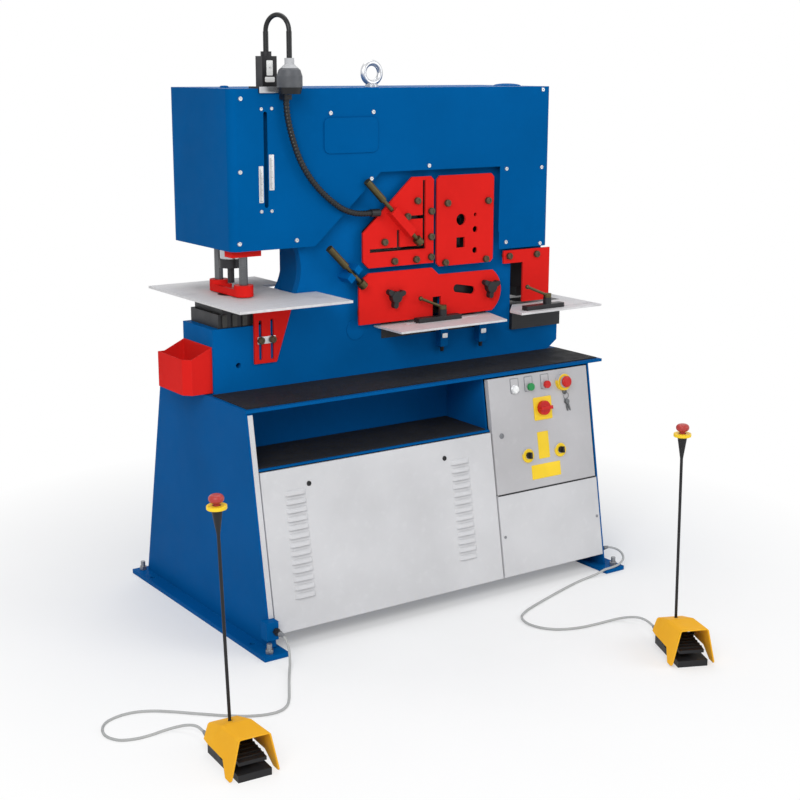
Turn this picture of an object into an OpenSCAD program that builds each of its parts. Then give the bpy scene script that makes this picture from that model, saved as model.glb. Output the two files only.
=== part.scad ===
// Ironworker: a hydraulic punching and shearing machine on a sheet-metal cabinet.
// X runs along the machine to the operator's right, Y to the rear and Z up.
// The origin lies on the floor, in the middle of the four anchor holes.

/* [Base cabinet] */
// Length over both foot plates
foot_span = 1480; // [1400:10:1600]
// Width of one foot plate
foot_w = 84; // [76:1:100]
// Length of a foot plate from front to rear
foot_l = 960; // [920:10:1060]
// Thickness of a foot plate
foot_t = 15; // [10:1:20]
// Distance from a foot plate's outer edge to the end panel
panel_inset = 46; // [40:1:52]
// Sheet thickness of the cabinet
sheet_t = 6; // [4:0.5:8]
// Height of the cabinet's end panels above the floor
cabinet_h = 736; // [680:2:800]
// Reach of the cabinet to the front at the floor
front_bottom = 430; // [410:5:450]
// Reach of the cabinet to the front at the top
front_top = 304; // [290:2:330]
// Reach of the cabinet to the rear at the floor
rear_bottom = 448; // [430:2:470]
// Reach of the cabinet to the rear at the top
rear_top = 290; // [270:2:320]
// Place of the divider between tool shelf and control box
divider_x = 230; // [200:5:260]
// Depth of the tool shelf below the cabinet's top
shelf_drop = 175; // [150:5:200]
// Depth of the tool shelf from front to rear
shelf_depth = 250; // [200:5:300]
// Radius of an anchor hole
anchor_r = 9; // [7:0.5:10]

/* [Front panels] */
// Sheet thickness of the panels
panel_sheet = 3; // [2:0.5:4]
// Depth of the panels' returned edges
panel_return = 16; // [12:1:20]
// Gap round a panel
panel_gap = 3; // [2:0.5:4]
// Height of the open skirt under the panels
skirt = 40; // [36:1:50]
// Height of the lower cover
lower_cover_h = 284; // [260:2:310]
// Louvres in one bank
louvre_count = 13; // [8:1:15]
// Spacing of the louvres
louvre_pitch = 27; // [24:0.5:28]
// Width of a louvre
louvre_w = 68; // [50:1:90]
// Height of a louvre's slot
louvre_h = 7; // [4:0.5:10]

/* [Controls] */
// Radius of a push button's cap
button_r = 13; // [10:0.5:15]
// Travel of a push button
button_travel = 4; // [3:0.5:5]
// Radius of the emergency stop's mushroom
mushroom_r = 20; // [17:0.5:24]
// Radius of the main switch's knob
main_knob_r = 25; // [20:0.5:28]
// Radius of a selector's knob
selector_r = 11; // [9:0.5:13]

/* [Tray] */
// Thickness of the tray
tray_t = 10; // [8:1:14]
// Overhang of the tray past the right end panel
tray_overhang = 63; // [40:1:90]
// Thickness of a rubber mat
mat_t = 4; // [3:0.5:6]

/* [Frame] */
// Reach of the frame to the left
frame_reach_l = 670; // [650:2:690]
// Reach of the frame to the right
frame_reach_r = 757; // [745:2:780]
// Place of the frame's front face
frame_front_y = -56; // [-70:1:-50]
// Thickness of the frame over both plates
frame_depth = 210; // [200:2:240]
// Thickness of one frame plate
plate_t = 30; // [24:1:36]
// Height of the frame
frame_h = 951; // [930:2:1000]
// Height of the lower arm under the punch
arm_h = 209; // [200:1:220]
// Radius of the throat
throat_r = 172; // [165:1:180]
// Depth of the throat from the frame's left end
throat_depth = 326; // [318:1:340]

/* [Punch station] */
// Distance of the punch from the frame's left end
punch_setback = 125; // [122:1:130]
// Radius of the punch ram
ram_r = 34; // [28:1:38]
// Stroke of the punch
punch_stroke = 45; // [38:1:46]
// Radius of the punch
punch_r = 11; // [6:0.5:14]
// Height of the punching table above the lower arm
punch_table_h = 92; // [88:1:100]
// Width of the punching table
punch_table_w = 405; // [396:1:430]
// Length of the punching table from front to rear
punch_table_l = 640; // [620:4:700]
// Thickness of the punching table
punch_table_t = 8; // [7:0.5:12]

/* [Shear stations] */
// Swing of the shear beam in degrees
shear_angle = 2.6; // [1.5:0.1:2.6]
// Thickness of the shear beam
beam_t = 120; // [112:1:126]
// Radius of the beam's pivot pin
pin_r = 32; // [26:1:36]
// Thickness of a moving blade
blade_t = 30; // [24:1:36]
// Width of the angle slot
angle_slot = 12; // [8:0.5:14]
// Radius of the hole for round bar
round_bar_r = 20; // [14:0.5:22]
// Width of the hole for square bar
square_bar = 36; // [26:1:38]

/* [Guards] */
// Thickness of a guard plate
guard_t = 8; // [6:0.5:10]
// Distance of the guards from the frame
guard_stand = 22; // [18:1:25]

/* [Tables] */
// Height of the flat-bar table above the deck
flat_table_h = 166; // [160:1:170]
// Height of the notching table above the deck
notch_table_h = 184; // [178:1:188]
// Thickness of these tables
table_t = 7; // [6:0.5:10]

/* [Cover] */
// Reach of the cover to the left
cover_reach_l = 612; // [608:1:630]
// Reach of the cover to the right
cover_reach_r = 674; // [672:1:690]
// Place of the cover's front
cover_front_y = -92; // [-100:1:-90]
// Depth of the cover from front to rear
cover_depth = 420; // [400:2:460]
// Height of the cover's lower edge above the deck
cover_rise = 454; // [440:1:470]
// Sheet thickness of the cover
cover_sheet = 3; // [2:0.5:4]
// Radius of the cover's upright corners
cover_corner_r = 26; // [14:1:34]

/* [Lamp and conduit] */
// Radius of the lamp's bell at its widest
bell_r = 40; // [37:1:46]
// Radius of the lamp's gooseneck
neck_r = 7.5; // [6.5:0.5:9]
// Outer radius of the ribbed conduit
conduit_r = 10.5; // [10:0.25:12]
// Ribs between two route points of the conduit
conduit_ribs = 6; // [3:1:8]

/* [Foot pedals] */
// Width of a pedal
pedal_w = 142; // [132:1:156]
// Length of a pedal
pedal_l = 198; // [190:1:214]
// Height of a pedal's hood
pedal_h = 120; // [114:1:130]
// Wall of a hood
hood_t = 4; // [3:0.5:5]
// Travel of a treadle in degrees
treadle_angle = 6; // [4:0.5:7]
// Height of a pole's collar above the floor
collar_z = 687; // [640:1:740]
// Radius of a pole
pole_r = 4.5; // [4:0.25:5]
// Radius of a pedal cord
cord_r = 4; // [3.5:0.25:5]

/* [Hidden] */
$fn = 48;

// Colours
cabinet_blue = "#1d5c9e";
frame_blue = "#1f4f96";
guard_red = "#d8322a";
panel_grey = "#c8c8cb";
signal_yellow = "#f0b020";
black = "#2a2a2c";
steel = "#b4b6b9";

// Overrun of a cut, running fit and gap between moving pieces
cut = 1;
fit = 0.08;
gap = 0.5;

// Base cabinet
panel_out = foot_span / 2 - panel_inset;
panel_in = panel_out - sheet_t;
foot_mid = foot_span / 2 - foot_w / 2;
front_rise = cabinet_h - foot_t;
front_run = front_bottom - front_top;
front_tilt = atan2(front_run, front_rise);
front_len = sqrt(front_rise * front_rise + front_run * front_run);
front_flange = 18;
pan_z = foot_t + skirt;
pan_setback = 70;
shelf_z = cabinet_h - shelf_drop;
divider_setback = panel_return + 2 * panel_gap;
level_r = 8;
level_nut_r = 13;
level_nut_h = 13;
level_top = 46;
level_end = 25;
level_x = panel_out + level_nut_r + panel_gap;
anchor_x = foot_span / 2 - panel_inset / 2;
anchor_end = 120;
anchor_y = foot_l / 2 - anchor_end;
junction_w = 41;
junction_h = 59;
junction_d = 20;
junction_z = 48;
function front_y(z) = -front_bottom + front_run * (z - foot_t) / front_rise;
function rear_y(z) = rear_bottom - (rear_bottom - rear_top) * (z - foot_t) / front_rise;

// Front panels, in the sloped front: u along X, v up the slope
louvred_l = -panel_in + front_flange + panel_gap;
louvred_r = divider_x - panel_gap / 2;
louvred_top = (shelf_z - sheet_t - foot_t) / cos(front_tilt) - panel_gap;
door_l = divider_x + sheet_t;
hinge_reach = 10;
hinge_back = 6;
hinge_eye_r = 5.5;
hinge_web = hinge_eye_r - gap;
hinge_pin_r = 3;
knuckle_l = 40;
lug_l = 14;
lug_depth = 34;
door_r = panel_in - panel_gap - hinge_reach / 2;
lower_top = skirt + lower_cover_h;
door_bottom = lower_top + panel_gap;
door_top = front_len - 2 * panel_gap;
louvre_rise = 96;
louvre_inset = 82;
louvre_inset_right = 106;
hinge_u_share = 0.12;

// Controls on the door, from its left edge and its top
button_drop = 45;
start_u = 175;
stop_u = 248;
emergency_u = 326;
main_u = 229;
main_drop = 125;
selector_us = [145, 291];
selector_drop = 281;
button_stem_r = 9;
button_cap_h = 9;
stem_back = 24;
bezel_h = 5;
bezel_w = 4;
mushroom_h = 14;
collar_h = 16;
collar_w = 9;
main_plate = 80;
main_plate_t = 2;
main_knob_h = 26;
main_grip = 12;
selector_plate_r = 24;
selector_h = 18;
selector_grip = 7;

// Heights above the deck, the top of the tray
deck = cabinet_h + tray_t;
mat_margin = 12;

// Frame
frame_l = -frame_reach_l;
frame_rear_y = frame_front_y + frame_depth;
inner_front_y = frame_front_y + plate_t;
inner_rear_y = frame_rear_y - plate_t;
mid_y = (frame_front_y + frame_rear_y) / 2;
jaw_inset = 70;
jaw_l = frame_l + jaw_inset;
arm_z = deck + arm_h;
throat_x = frame_l + throat_depth - throat_r;
throat_z = arm_z + throat_r;
jaw_z = throat_z + throat_r;
rear_throat_extra = 45;
jaw_block_h = 41;
jaw_block_w = 190;
frame_top = deck + frame_h;
top_block_h = 12;
base_rail_h = 54;
head_inset = 4;
head_r = cover_reach_r - head_inset;
notch_wall_x = 530;
notch_seat = 92;
notch_roof = 334;
corner_cut = 44;
corner_rise = 32;
column_l = -320;
column_w = 70;
rear_window_l = -110;
rear_window_r = 450;
rear_window_bottom = 150;
rear_window_top = 654;
table_rib_xs = [216, 386];
table_rib_w = 30;
table_rib_h = 92;
table_rib_d = 30;
frame_hole_r = 9;
frame_hole_x = -581;
frame_hole_h = 85;
screw_lug_w = 62;
screw_lug_d = 17;
screw_lug_l = 24;

// Punch station
punch_x = frame_l + punch_setback;
cylinder_r = 62;
piston_r = 50;
cylinder_wall = 26;
piston_h = 40;
piston_drop = 85;
holder_r = 37;
holder_h = 29;
ram_bottom_h = 417;
punch_l = 50;
table_top = arm_z + punch_table_h;
table_bottom = table_top - punch_table_t;
punch_table_lead = 150;
punch_table_front = -285;
punch_table_x = punch_x - punch_table_lead;
slot_gap = 4;
die_r = 45;
die_bore_gap = 1;
slug_r = 18;
slug_depth = 50;
bolster_w = 170;
bolster_d = 190;
bolster_foot_w = 200;
bolster_foot_h = 45;
bolster_reach = punch_x + bolster_foot_w / 2 - throat_x;
bolster_relief = throat_r - sqrt(throat_r * throat_r - bolster_reach * bolster_reach) + gap;
stripper_w = 62;
stripper_h = 22;
stripper_boss_h = 36;
stripper_wall = 14;
stripper_gap = 3;
stripper_foot_t = 10;
stripper_hole_r = 20;
post_r = 14;
post_reach = 84;
post_h = 160;
yoke_w = 106;
yoke_d = 48;
yoke_hs = [432, 460];
yoke_relief = 2;
bracket_t = 8;
bracket_l = -525;
bracket_r = -373;
bracket_foot_r = -444;
bracket_foot_h = 84;
bracket_shelf_d = 110;
bracket_slot_xs = [-503, -460];
bracket_slot_r = 6;
bracket_slot_l = 120;
bracket_slot_h = 160;
bin_w = 95;
bin_front_y = -47;
bin_d = 196;
bin_lift = 4;
bin_h = 115;
bin_rise = 34;
bin_corner = 23;
bin_wall = 3;

// Shear beam, with places along the machine and heights above the deck
pivot_x = -95;
pivot_h = 214;
pivot_z = deck + pivot_h;
boss_r = 75;
pin_recess = 4;
beam_side_gap = 2;
beam_front_y = inner_front_y + beam_side_gap;
beam_top_h = 641;
beam_top_l = -60;
beam_top_r = 600;
beam_left = -165;
beam_shoulder_h = 500;
beam_edge_h = 254;
beam_step_x = 470;
beam_arm_h = 239;
beam_arm_r = 700;
beam_arm_top_h = 362;
beam_neck_h = 382;
beam_flank_h = 500;
beam_flank_gap = 16;
beam_flank_r = cover_reach_r - cover_sheet - beam_flank_gap;
shear_cylinder_x = 560;
shear_cylinder_h = 694;
rod_r = 30;
pad_r = 20;
pad_h = 12;
pad_gap = 2.5;
shear_piston_drop = 85;

// Blades and windows
angle_x = 126;
angle_h = 422;
side_slot_x = 20;
side_slot_l = 64;
cross_slot_x = 66;
cross_slot_h = 525;
angle_leg_v = 232;
angle_leg_u = 227;
angle_window_l = -108;
angle_window_r = 150;
angle_window_bottom = 391;
angle_window_top = 650;
angle_window_top_l = 88;
angle_window_side = 487;
section_l = 205;
section_r = 405;
section_bottom = 374;
section_top = 644;
round_x = 283;
round_h = 506;
square_x = 282;
square_h = 427;
small_x = 345;
small_hs = [396, 469, 520];
small_rs = [11, 11, 6.5];
flat_l = -30;
flat_r = 420;
flat_slot_h = 44;
flat_blade_h = 50;
moving_flat_open = 2;
moving_flat_rake = 14;
moving_flat_seat = 35;
notch_punch_l = 590;
notch_punch_w = 100;
notch_punch_d = 64;
notch_punch_inset = 4;
notch_punch_y = beam_front_y + notch_punch_inset;
notch_open = 20;
notch_clearance = 4;
notch_die_front = 14;

// Guards
guard_y = frame_front_y - guard_stand - guard_t;
angle_guard_l = -122;
angle_guard_r = 166;
angle_guard_bottom = 365;
angle_guard_top = 660;
angle_guard_side = 483;
angle_guard_top_l = 76;
angle_guard_corner = 22;
section_guard_l = 180;
section_guard_r = 425;
section_guard_bottom = 350;
section_guard_corner = 12;
flat_guard_l = -138;
flat_guard_corner = 40;
flat_guard_bottom = 176;
flat_guard_top = 348;
flat_guard_step_l = 160;
flat_guard_step_r = 190;
flat_guard_step = 26;
flat_guard_r = 464;
flat_end_r = 86;
flat_end_h = 249;
flat_guard_lift = 10;
flat_notch_x = 182;
flat_notch_w = 34;
flat_notch_h = 70;
flat_obround_x = 300;
flat_obround_h = 262;
flat_obround_l = 66;
flat_obround_r = 14;
flat_obround_tilt = -10;
notch_guard_l = 564;
notch_guard_r = 687;
notch_guard_bottom = 194;
notch_guard_top = 384;
notch_block_l = 475;
notch_block_w = 88;
notch_block_h = 46;
bolt_r = 6;
bolt_head_r = 12;
bolt_head_h = 9;
bolt_collar_r = 11;
bolt_depth = 24;
angle_bolts = [[96, 580], [55, 529], [154, 542], [-38, 449], [154, 455], [2, 382], [92, 382], [154, 386]];
section_bolts = [[222, 566], [398, 566], [215, 362], [392, 362]];
notch_bolts = [[624, 363], [498, 364]];
bracket_bolt_h = 160;
knob_xs = [2, 410];
knob_h = 262;
knob_hub_r = 20;
knob_hub_h = 22;
knob_arms = 3;
knob_turn = 96;
knob_wing_l = 30;
knob_wing_w = 18;
knob_wing_h = 19;
knob_stud_r = 6;
knob_stud_in = 16;
knob_collar_r = 12;

// Hold-down screws, both at half a right angle
screw_tilt = 45;
screw_r = 7;
grip_r = 12;
grip_l = 92;
screw_foot_r = 15;
screw_foot_l = 22;
upper_screw_x = -20;
upper_screw_h = 555;
upper_screw_y = guard_y - screw_foot_r - 2 * panel_gap;
upper_block_l = 112;
upper_block_w = 30;
upper_screw_up = 96;
upper_screw_down = 142;
lower_screw_x = -176;
lower_screw_h = 356;
lower_screw_y = guard_y - screw_foot_r - panel_gap;
lower_screw_up = 81;
lower_screw_down = 44;

// Flat-bar and notching tables
flat_table_l = -60;
flat_table_r = 426;
flat_table_d = 166;
flat_table_corner = 40;
stop_slot_w = 12;
flat_slot_l = 40;
flat_slot_r = 350;
stop_l = 182;
stop_lead = 18;
stop_d = 30;
stop_clearance = 5;
flat_slot_y = guard_y - stop_d / 2 - stop_clearance;
stop_h = 16;
stop_x = 192;
stop_post_r = 15;
stop_post_h = 22;
stop_tongue = 5;
stop_tongue_w = 11;
lever_hub_r = 14;
lever_hub_h = 14;
lever_l = 100;
lever_r = 5;
lever_knob_r = 8;
lever_rise = 22;
lever_screw_r = 5;
lever_screw_l = 26;
notch_table_l = 440;
notch_overhang = 55;
notch_table_r = frame_reach_r + notch_overhang;
notch_table_front = -236;
notch_table_end = 66;
notch_table_rear = 90;
notch_table_side = 52;
notch_slot_y = -195;
notch_slot_l = 450;
notch_slot_end = 12;
notch_slot_r = notch_table_r - notch_slot_end;
notch_stop_x = 589;
notch_stop_l = 170;

// Cover
cover_l = -cover_reach_l;
cover_top = frame_top + cover_sheet;
cover_bottom = deck + cover_rise;
strip_drop = 62;
strip_l = 447;
cutout_l = -311;
cutout_diag_x = -55;
cutout_h = 228;
cutout_top = cover_bottom + cutout_h;
cutout_share = 0.992;
stroke_slot_x = -487;
stroke_slot_w = 14;
stroke_slot_share = 0.594;
stroke_rise_share = 0.266;
stroke_slot_h = stroke_slot_share * (cover_top - cover_bottom);
stroke_slot_bottom = cover_bottom + stroke_rise_share * (cover_top - cover_bottom);

// Lifting eye
eye_x = 2;
eye_r = 33;
eye_wire_r = 10;
eye_shank_r = 12;
eye_collar_r = 22;
eye_collar_h = 8;

// Lamp
lamp_x = -458;
lamp_y = -52;
lamp_box_w = 52;
lamp_box_d = 42;
lamp_box_h = 92;
lamp_plate_w = 104;
lamp_plate_t = 6;
lamp_lip = 14;
lamp_collar_r = 17;
lamp_collar_h = 14;
neck_span = 98;
neck_turn = 17;
neck_rise = 60;
neck_sleeve = 1;
bell_drop = 20;
bell_h = 108;
bell_wall = 3;
bell_cap_r = 15;
bell_cap_h = 36;
bell_shoulder_r = 34;
bell_mouth_r = 34;
bell_rim_h = 22;
neck_x2 = lamp_x + neck_span * sin(neck_turn);
neck_y2 = lamp_y - neck_span * cos(neck_turn);
neck_z0 = cover_top + lamp_plate_t + lamp_box_h + lamp_collar_h;
neck_z1 = neck_z0 + neck_rise;
bell_top = neck_z0 - bell_drop;

// Route of the ribbed conduit: X, Y and the share of its height
conduit_low_h = 550;
conduit_drop = 34;
conduit_low = deck + conduit_low_h;
conduit_high = cover_top - conduit_drop;
conduit_steps = [[-423, -112, 1], [-423, -112, 0.966], [-423, -112, 0.93], [-412, -112, 0.77],
  [-396, -112, 0.629], [-374, -112, 0.487], [-344, -112, 0.357], [-306, -112, 0.238], [-262, -111, 0.136],
  [-214, -107, 0.054], [-166, -101, 0.01], [-130, -98, 0], [-115, -98, 0], [-100, -98, 0]];
conduit_route = [for (p = conduit_steps) [p[0], p[1], conduit_low + p[2] * (conduit_high - conduit_low)]];
steep_share = 0.2;
conduit_bore_r = 7;
conduit_root_r = 9;
elbow_w = 26;
elbow_h = 16;
conduit_gland_r = 13;
conduit_gland_l = 34;

// Routes of the pedal cords
left_route = [[-680, -470, 76], [-680, -489, 76], [-681, -507, 68], [-683, -521, 52], [-687, -533, 32],
  [-696, -550, 14], [-712, -577, 6], [-749, -640, 5], [-781, -695, 5], [-815, -752, 5],
  [-842, -787, 5], [-874, -806, 5], [-912, -806, 5], [-964, -785, 5], [-1014, -748, 5],
  [-1072, -694, 5], [-1130, -638, 5], [-1174, -603, 5], [-1218, -584, 5], [-1265, -583, 5],
  [-1308, -600, 5], [-1335, -637, 5], [-1341, -682, 5], [-1321, -720, 5], [-1281, -737, 5],
  [-1238, -739, 5], [-1199, -738, 7], [-1168, -747, 12], [-1145, -768, 20], [-1133, -800, 27],
  [-1132, -836, 28], [-1134, -868, 28]];
right_route = [[714, -395, 62], [728, -395, 62], [745, -399, 60], [759, -411, 55], [765, -430, 48],
  [760, -449, 40], [747, -464, 32], [726, -474, 26], [700, -480, 22], [668, -482, 20.5],
  [646, -482, 19.5], [612, -481, 11], [576, -481, 6], [534, -487, 5], [470, -504, 5], [403, -525, 5],
  [318, -554, 5], [234, -584, 5], [176, -609, 5], [134, -640, 5], [116, -688, 5],
  [124, -738, 5], [160, -784, 5], [228, -814, 5], [300, -823, 5], [346, -827, 6], [382, -838, 10],
  [405, -861, 17], [415, -893, 24], [413, -925, 27.5], [403, -962, 28], [384, -1005, 28]];
gland_r = 9;
gland_l = 40;
gland_bore = 2;
gland_foot_r = 12;
gland_foot_l = 12;

// Foot pedals: where the cord enters, the turn seen from above, the pole's lean
pedal_entries = [[-1134, -868], [384, -1005]];
entry_x = 30;
pedal_turns = [-4, -24];
pole_leans = [-2, -0.75];
entry_z = 28;
pedal_back = pedal_l / 2;
housing_h = 42;
housing_d = 62;
pedal_base_h = 20;
base_inset = 24;
base_front = 2;
hood_rear_h = 85;
hood_top_w = 92;
hood_fold_y = 14;
hood_fold_h = 111;
hood_r = 9;
wing_z = 6;
wing_foot = 34;
hood_edge = 66;
treadle_gap = 3;
treadle_pin_y = 26;
treadle_pin_z = 52;
treadle_pin_r = 4;
treadle_eye_r = 8;
treadle_t = 10;
treadle_front = 84;
treadle_rise = -9;
cheek_t = 5;
rib_count = 5;
rib_h = 3;
rib_w = 5;
pole_y = 52;
pole_hole_gap = 3;
neck_cone_l = 70;
neck_cone_r = 15;
collar_r = 26;
collar_t = 9;
pole_button_gap = 7;
pole_button_stem_r = 9;
pole_button_in = 2.5;
pole_button_h = 22;

// Power pack
tank_x = -560;
tank_w = 430;
tank_d = 320;
tank_h = 240;
tank_y = -120;
motor_r = 88;
motor_l = 250;
motor_inset = 30;
pump_w = 110;
pump_d = 120;
pump_h = 130;

// An outline in X and Z, drawn thick along Y from y0 towards the rear
module across(y0, t) {
  translate([0, y0 + t, 0]) rotate([90, 0, 0]) linear_extrude(t) children();
}

// An outline in Y and Z, drawn long along X from x0 to the right
module along(x0, l) {
  translate([x0, 0, 0]) rotate([90, 0, 90]) linear_extrude(l) children();
}

// A box between two corners
module box(a, b) {
  translate(a) cube(b - a);
}

// A round bar along Y
module pin_y(x, z, y0, y1, r) {
  translate([x, y1, z]) rotate([90, 0, 0]) cylinder(h = y1 - y0, r = r);
}

// A slot with round ends, l between the centres
module obround(l, r) {
  translate([-l / 2, -r]) square([l, 2 * r]);
  for (s = [-1, 1]) translate([s * l / 2, 0]) circle(r);
}

// Places children on the cabinet's sloped front: x along, y up the slope, z outwards
module on_front() {
  translate([0, -front_bottom, foot_t]) rotate([90 - front_tilt, 0, 0]) children();
}

// A flat panel with returned edges, open at the back
module sheet_panel(l, r, b, t, right_return) {
  translate([l, b]) cube([r - l, t - b, panel_sheet]);
  translate([l, b, -panel_return]) cube([panel_sheet, t - b, panel_return + panel_sheet]);
  translate([l, t - panel_sheet, -panel_return]) cube([r - l, panel_sheet, panel_return + panel_sheet]);
  if (right_return)
    translate([r - panel_sheet, b, -panel_return]) cube([panel_sheet, t - b, panel_return + panel_sheet]);
}

// A hinge eye on a panel: its axis runs along local X at the origin
module knuckle() {
  difference() {
    union() {
      rotate([0, 90, 0]) cylinder(h = knuckle_l, r = hinge_eye_r);
      translate([0, -hinge_web, 0]) cube([knuckle_l, 2 * hinge_web, hinge_back + panel_sheet / 2]);
    }
    translate([-cut, 0, 0]) rotate([0, 90, 0]) cylinder(h = knuckle_l + 2 * cut, r = hinge_pin_r + fit);
  }
}

// The lug that carries a hinge eye, with its pin, set beside the eye
module hinge_lug() {
  translate([-lug_l - gap, 0, 0]) {
    rotate([0, 90, 0]) cylinder(h = lug_l, r = hinge_eye_r);
    translate([0, -hinge_web, -lug_depth]) cube([lug_l, 2 * hinge_web, lug_depth]);
    rotate([0, 90, 0]) cylinder(h = lug_l + gap + knuckle_l, r = hinge_pin_r);
  }
}

// Hinge places of the louvred panel, along its lower edge
module louvred_hinges() {
  w = louvred_r - louvred_l;
  for (u = [louvred_l + hinge_u_share * w, louvred_r - hinge_u_share * w])
    translate([u, skirt + hinge_reach, -hinge_back]) children();
}

// Hinge places of the control door, along its right edge
module door_hinges() {
  h = door_top - door_bottom;
  for (v = [door_bottom + hinge_u_share * h, door_top - hinge_u_share * h - knuckle_l])
    translate([door_r - hinge_reach, v, -hinge_back]) rotate([0, 0, 90]) children();
}

module end_outline(setback) {
  polygon([[-front_bottom + setback, foot_t], [rear_bottom, foot_t],
    [rear_top, cabinet_h], [-front_top + setback, cabinet_h]]);
}

module foot_plate() {
  difference() {
    translate([foot_mid - foot_w / 2, -foot_l / 2, 0]) cube([foot_w, foot_l, foot_t]);
    for (s = [-1, 1]) {
      translate([anchor_x, s * anchor_y, -cut]) cylinder(h = foot_t + 2 * cut, r = anchor_r);
      translate([level_x, s * (foot_l / 2 - level_end), -cut])
        cylinder(h = foot_t + 2 * cut, r = level_r + fit);
    }
  }
}

module base_cabinet() color(cabinet_blue) {
  for (s = [0, 1]) mirror([s, 0, 0]) {
    foot_plate();
    along(panel_in, sheet_t) end_outline(0);
  }
  on_front() translate([-panel_in - sheet_t / 2, sheet_t / 2, -sheet_t - gap])
    cube([front_flange + sheet_t / 2, front_len - sheet_t, sheet_t]);
  along(-panel_in, 2 * panel_in) polygon([[rear_bottom - sheet_t, foot_t], [rear_bottom, foot_t],
    [rear_top, cabinet_h], [rear_top - sheet_t, cabinet_h]]);
  box([-panel_in, front_y(pan_z) + pan_setback, pan_z - sheet_t],
    [panel_in, rear_y(pan_z) - sheet_t / 2, pan_z]);
  box([-panel_in, front_y(shelf_z) + panel_sheet, shelf_z - sheet_t],
    [divider_x, front_y(shelf_z) + shelf_depth, shelf_z]);
  box([-panel_in, front_y(shelf_z) + shelf_depth, shelf_z - sheet_t],
    [divider_x, front_y(shelf_z) + shelf_depth + sheet_t, cabinet_h]);
  difference() {
    along(divider_x, sheet_t) end_outline(divider_setback);
    box([divider_x - cut, -foot_l, 0], [divider_x + sheet_t + cut, foot_l, pan_z - sheet_t]);
  }
  on_front() louvred_hinges() {
    hinge_lug();
    translate([-lug_l - gap, -hinge_web, -lug_depth - pan_setback])
      cube([lug_l, 2 * hinge_web, pan_setback]);
  }
  on_front() door_hinges() {
    hinge_lug();
    foot_reach = hinge_reach + panel_in - door_r + sheet_t / 2;
    translate([-lug_l - gap, -foot_reach, -lug_depth]) cube([lug_l, foot_reach, hinge_reach]);
  }
  box([-panel_in + front_flange - gap - junction_w, front_y(junction_z) - junction_d, junction_z],
    [-panel_in + front_flange - gap, front_y(junction_z) + front_flange, junction_z + junction_h]);
}

module levelling_screws() color(steel) {
  for (sx = [-1, 1], sy = [-1, 1]) translate([sx * level_x, sy * (foot_l / 2 - level_end), 0]) {
    cylinder(h = level_top, r = level_r);
    translate([0, 0, foot_t]) cylinder(h = level_nut_h, r = level_nut_r, $fn = 6);
  }
}

module work_tray() color(cabinet_blue) {
  box([-panel_out, -front_top - panel_gap, cabinet_h],
    [panel_out + tray_overhang, rear_top + panel_gap, deck]);
}

module rubber_mats() color(black) {
  box([-panel_out + mat_margin, -front_top + mat_margin, deck],
    [panel_out + tray_overhang - mat_margin, frame_front_y - mat_margin, deck + mat_t]);
  box([-panel_in + mat_margin, front_y(shelf_z) + mat_margin, shelf_z],
    [divider_x - mat_margin, front_y(shelf_z) + shelf_depth - mat_margin, shelf_z + mat_t]);
}

module lower_cover() color(panel_grey) {
  on_front() sheet_panel(door_l, panel_in - panel_gap, skirt, lower_top, true);
}

module power_pack() color(steel) {
  top = pan_z + tank_h;
  box([tank_x, tank_y, pan_z], [tank_x + tank_w, tank_y + tank_d, top]);
  translate([tank_x + motor_inset, tank_y + tank_d / 2, top + motor_r])
    rotate([0, 90, 0]) cylinder(h = motor_l, r = motor_r);
  box([tank_x + motor_inset + motor_l, tank_y + tank_d / 2 - pump_d / 2, top],
    [tank_x + motor_inset + motor_l + pump_w, tank_y + tank_d / 2 + pump_d / 2, top + pump_h]);
}

module louvred_panel() color(panel_grey) {
  on_front() {
    difference() {
      sheet_panel(louvred_l, louvred_r, skirt, louvred_top, true);
      for (u = [louvred_l + louvre_inset, louvred_r - louvre_inset_right - louvre_w],
          i = [0 : louvre_count - 1])
        translate([u, skirt + louvre_rise + i * louvre_pitch, -cut])
          cube([louvre_w, louvre_h, panel_sheet + 2 * cut]);
    }
    louvred_hinges() knuckle();
  }
}

// Hole for a control's stem through the door
module stem_hole(u, drop, r) {
  translate([door_l + u, door_top - drop, -cut]) cylinder(h = collar_h + panel_sheet + 2 * cut, r = r + fit);
}

// A ring or disc that stands on the door's face
module bezel(u, drop, r, h) {
  translate([door_l + u, door_top - drop, panel_sheet]) cylinder(h = h, r = r);
}

module control_door() color(panel_grey) {
  on_front() {
    difference() {
      union() {
        sheet_panel(door_l, door_r, door_bottom, door_top, false);
        for (u = [start_u, stop_u]) bezel(u, button_drop, button_r + bezel_w, bezel_h);
        bezel(emergency_u, button_drop, mushroom_r + collar_w, collar_h);
        translate([door_l + main_u - main_plate / 2, door_top - main_drop - main_plate / 2, panel_sheet])
          cube([main_plate, main_plate, main_plate_t]);
        for (u = selector_us) bezel(u, selector_drop, selector_plate_r, bezel_h);
      }
      for (u = [start_u, stop_u]) stem_hole(u, button_drop, button_stem_r);
      stem_hole(emergency_u, button_drop, button_stem_r);
      stem_hole(main_u, main_drop, button_stem_r);
      for (u = selector_us) stem_hole(u, selector_drop, button_stem_r);
    }
    door_hinges() knuckle();
  }
}

// A control's stem and head, with base the height of its head above the door's inner face
module control(u, drop, base) {
  on_front() translate([door_l + u, door_top - drop, 0]) {
    translate([0, 0, -stem_back]) cylinder(h = stem_back + base + cut, r = button_stem_r);
    translate([0, 0, base]) children();
  }
}

module push_button(u) {
  control(u, button_drop, panel_sheet + bezel_h + button_travel + gap)
    cylinder(h = button_cap_h, r = button_r);
}

module start_button() color("#2f9e50") push_button(start_u);

module stop_button() color(guard_red) push_button(stop_u);

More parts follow.
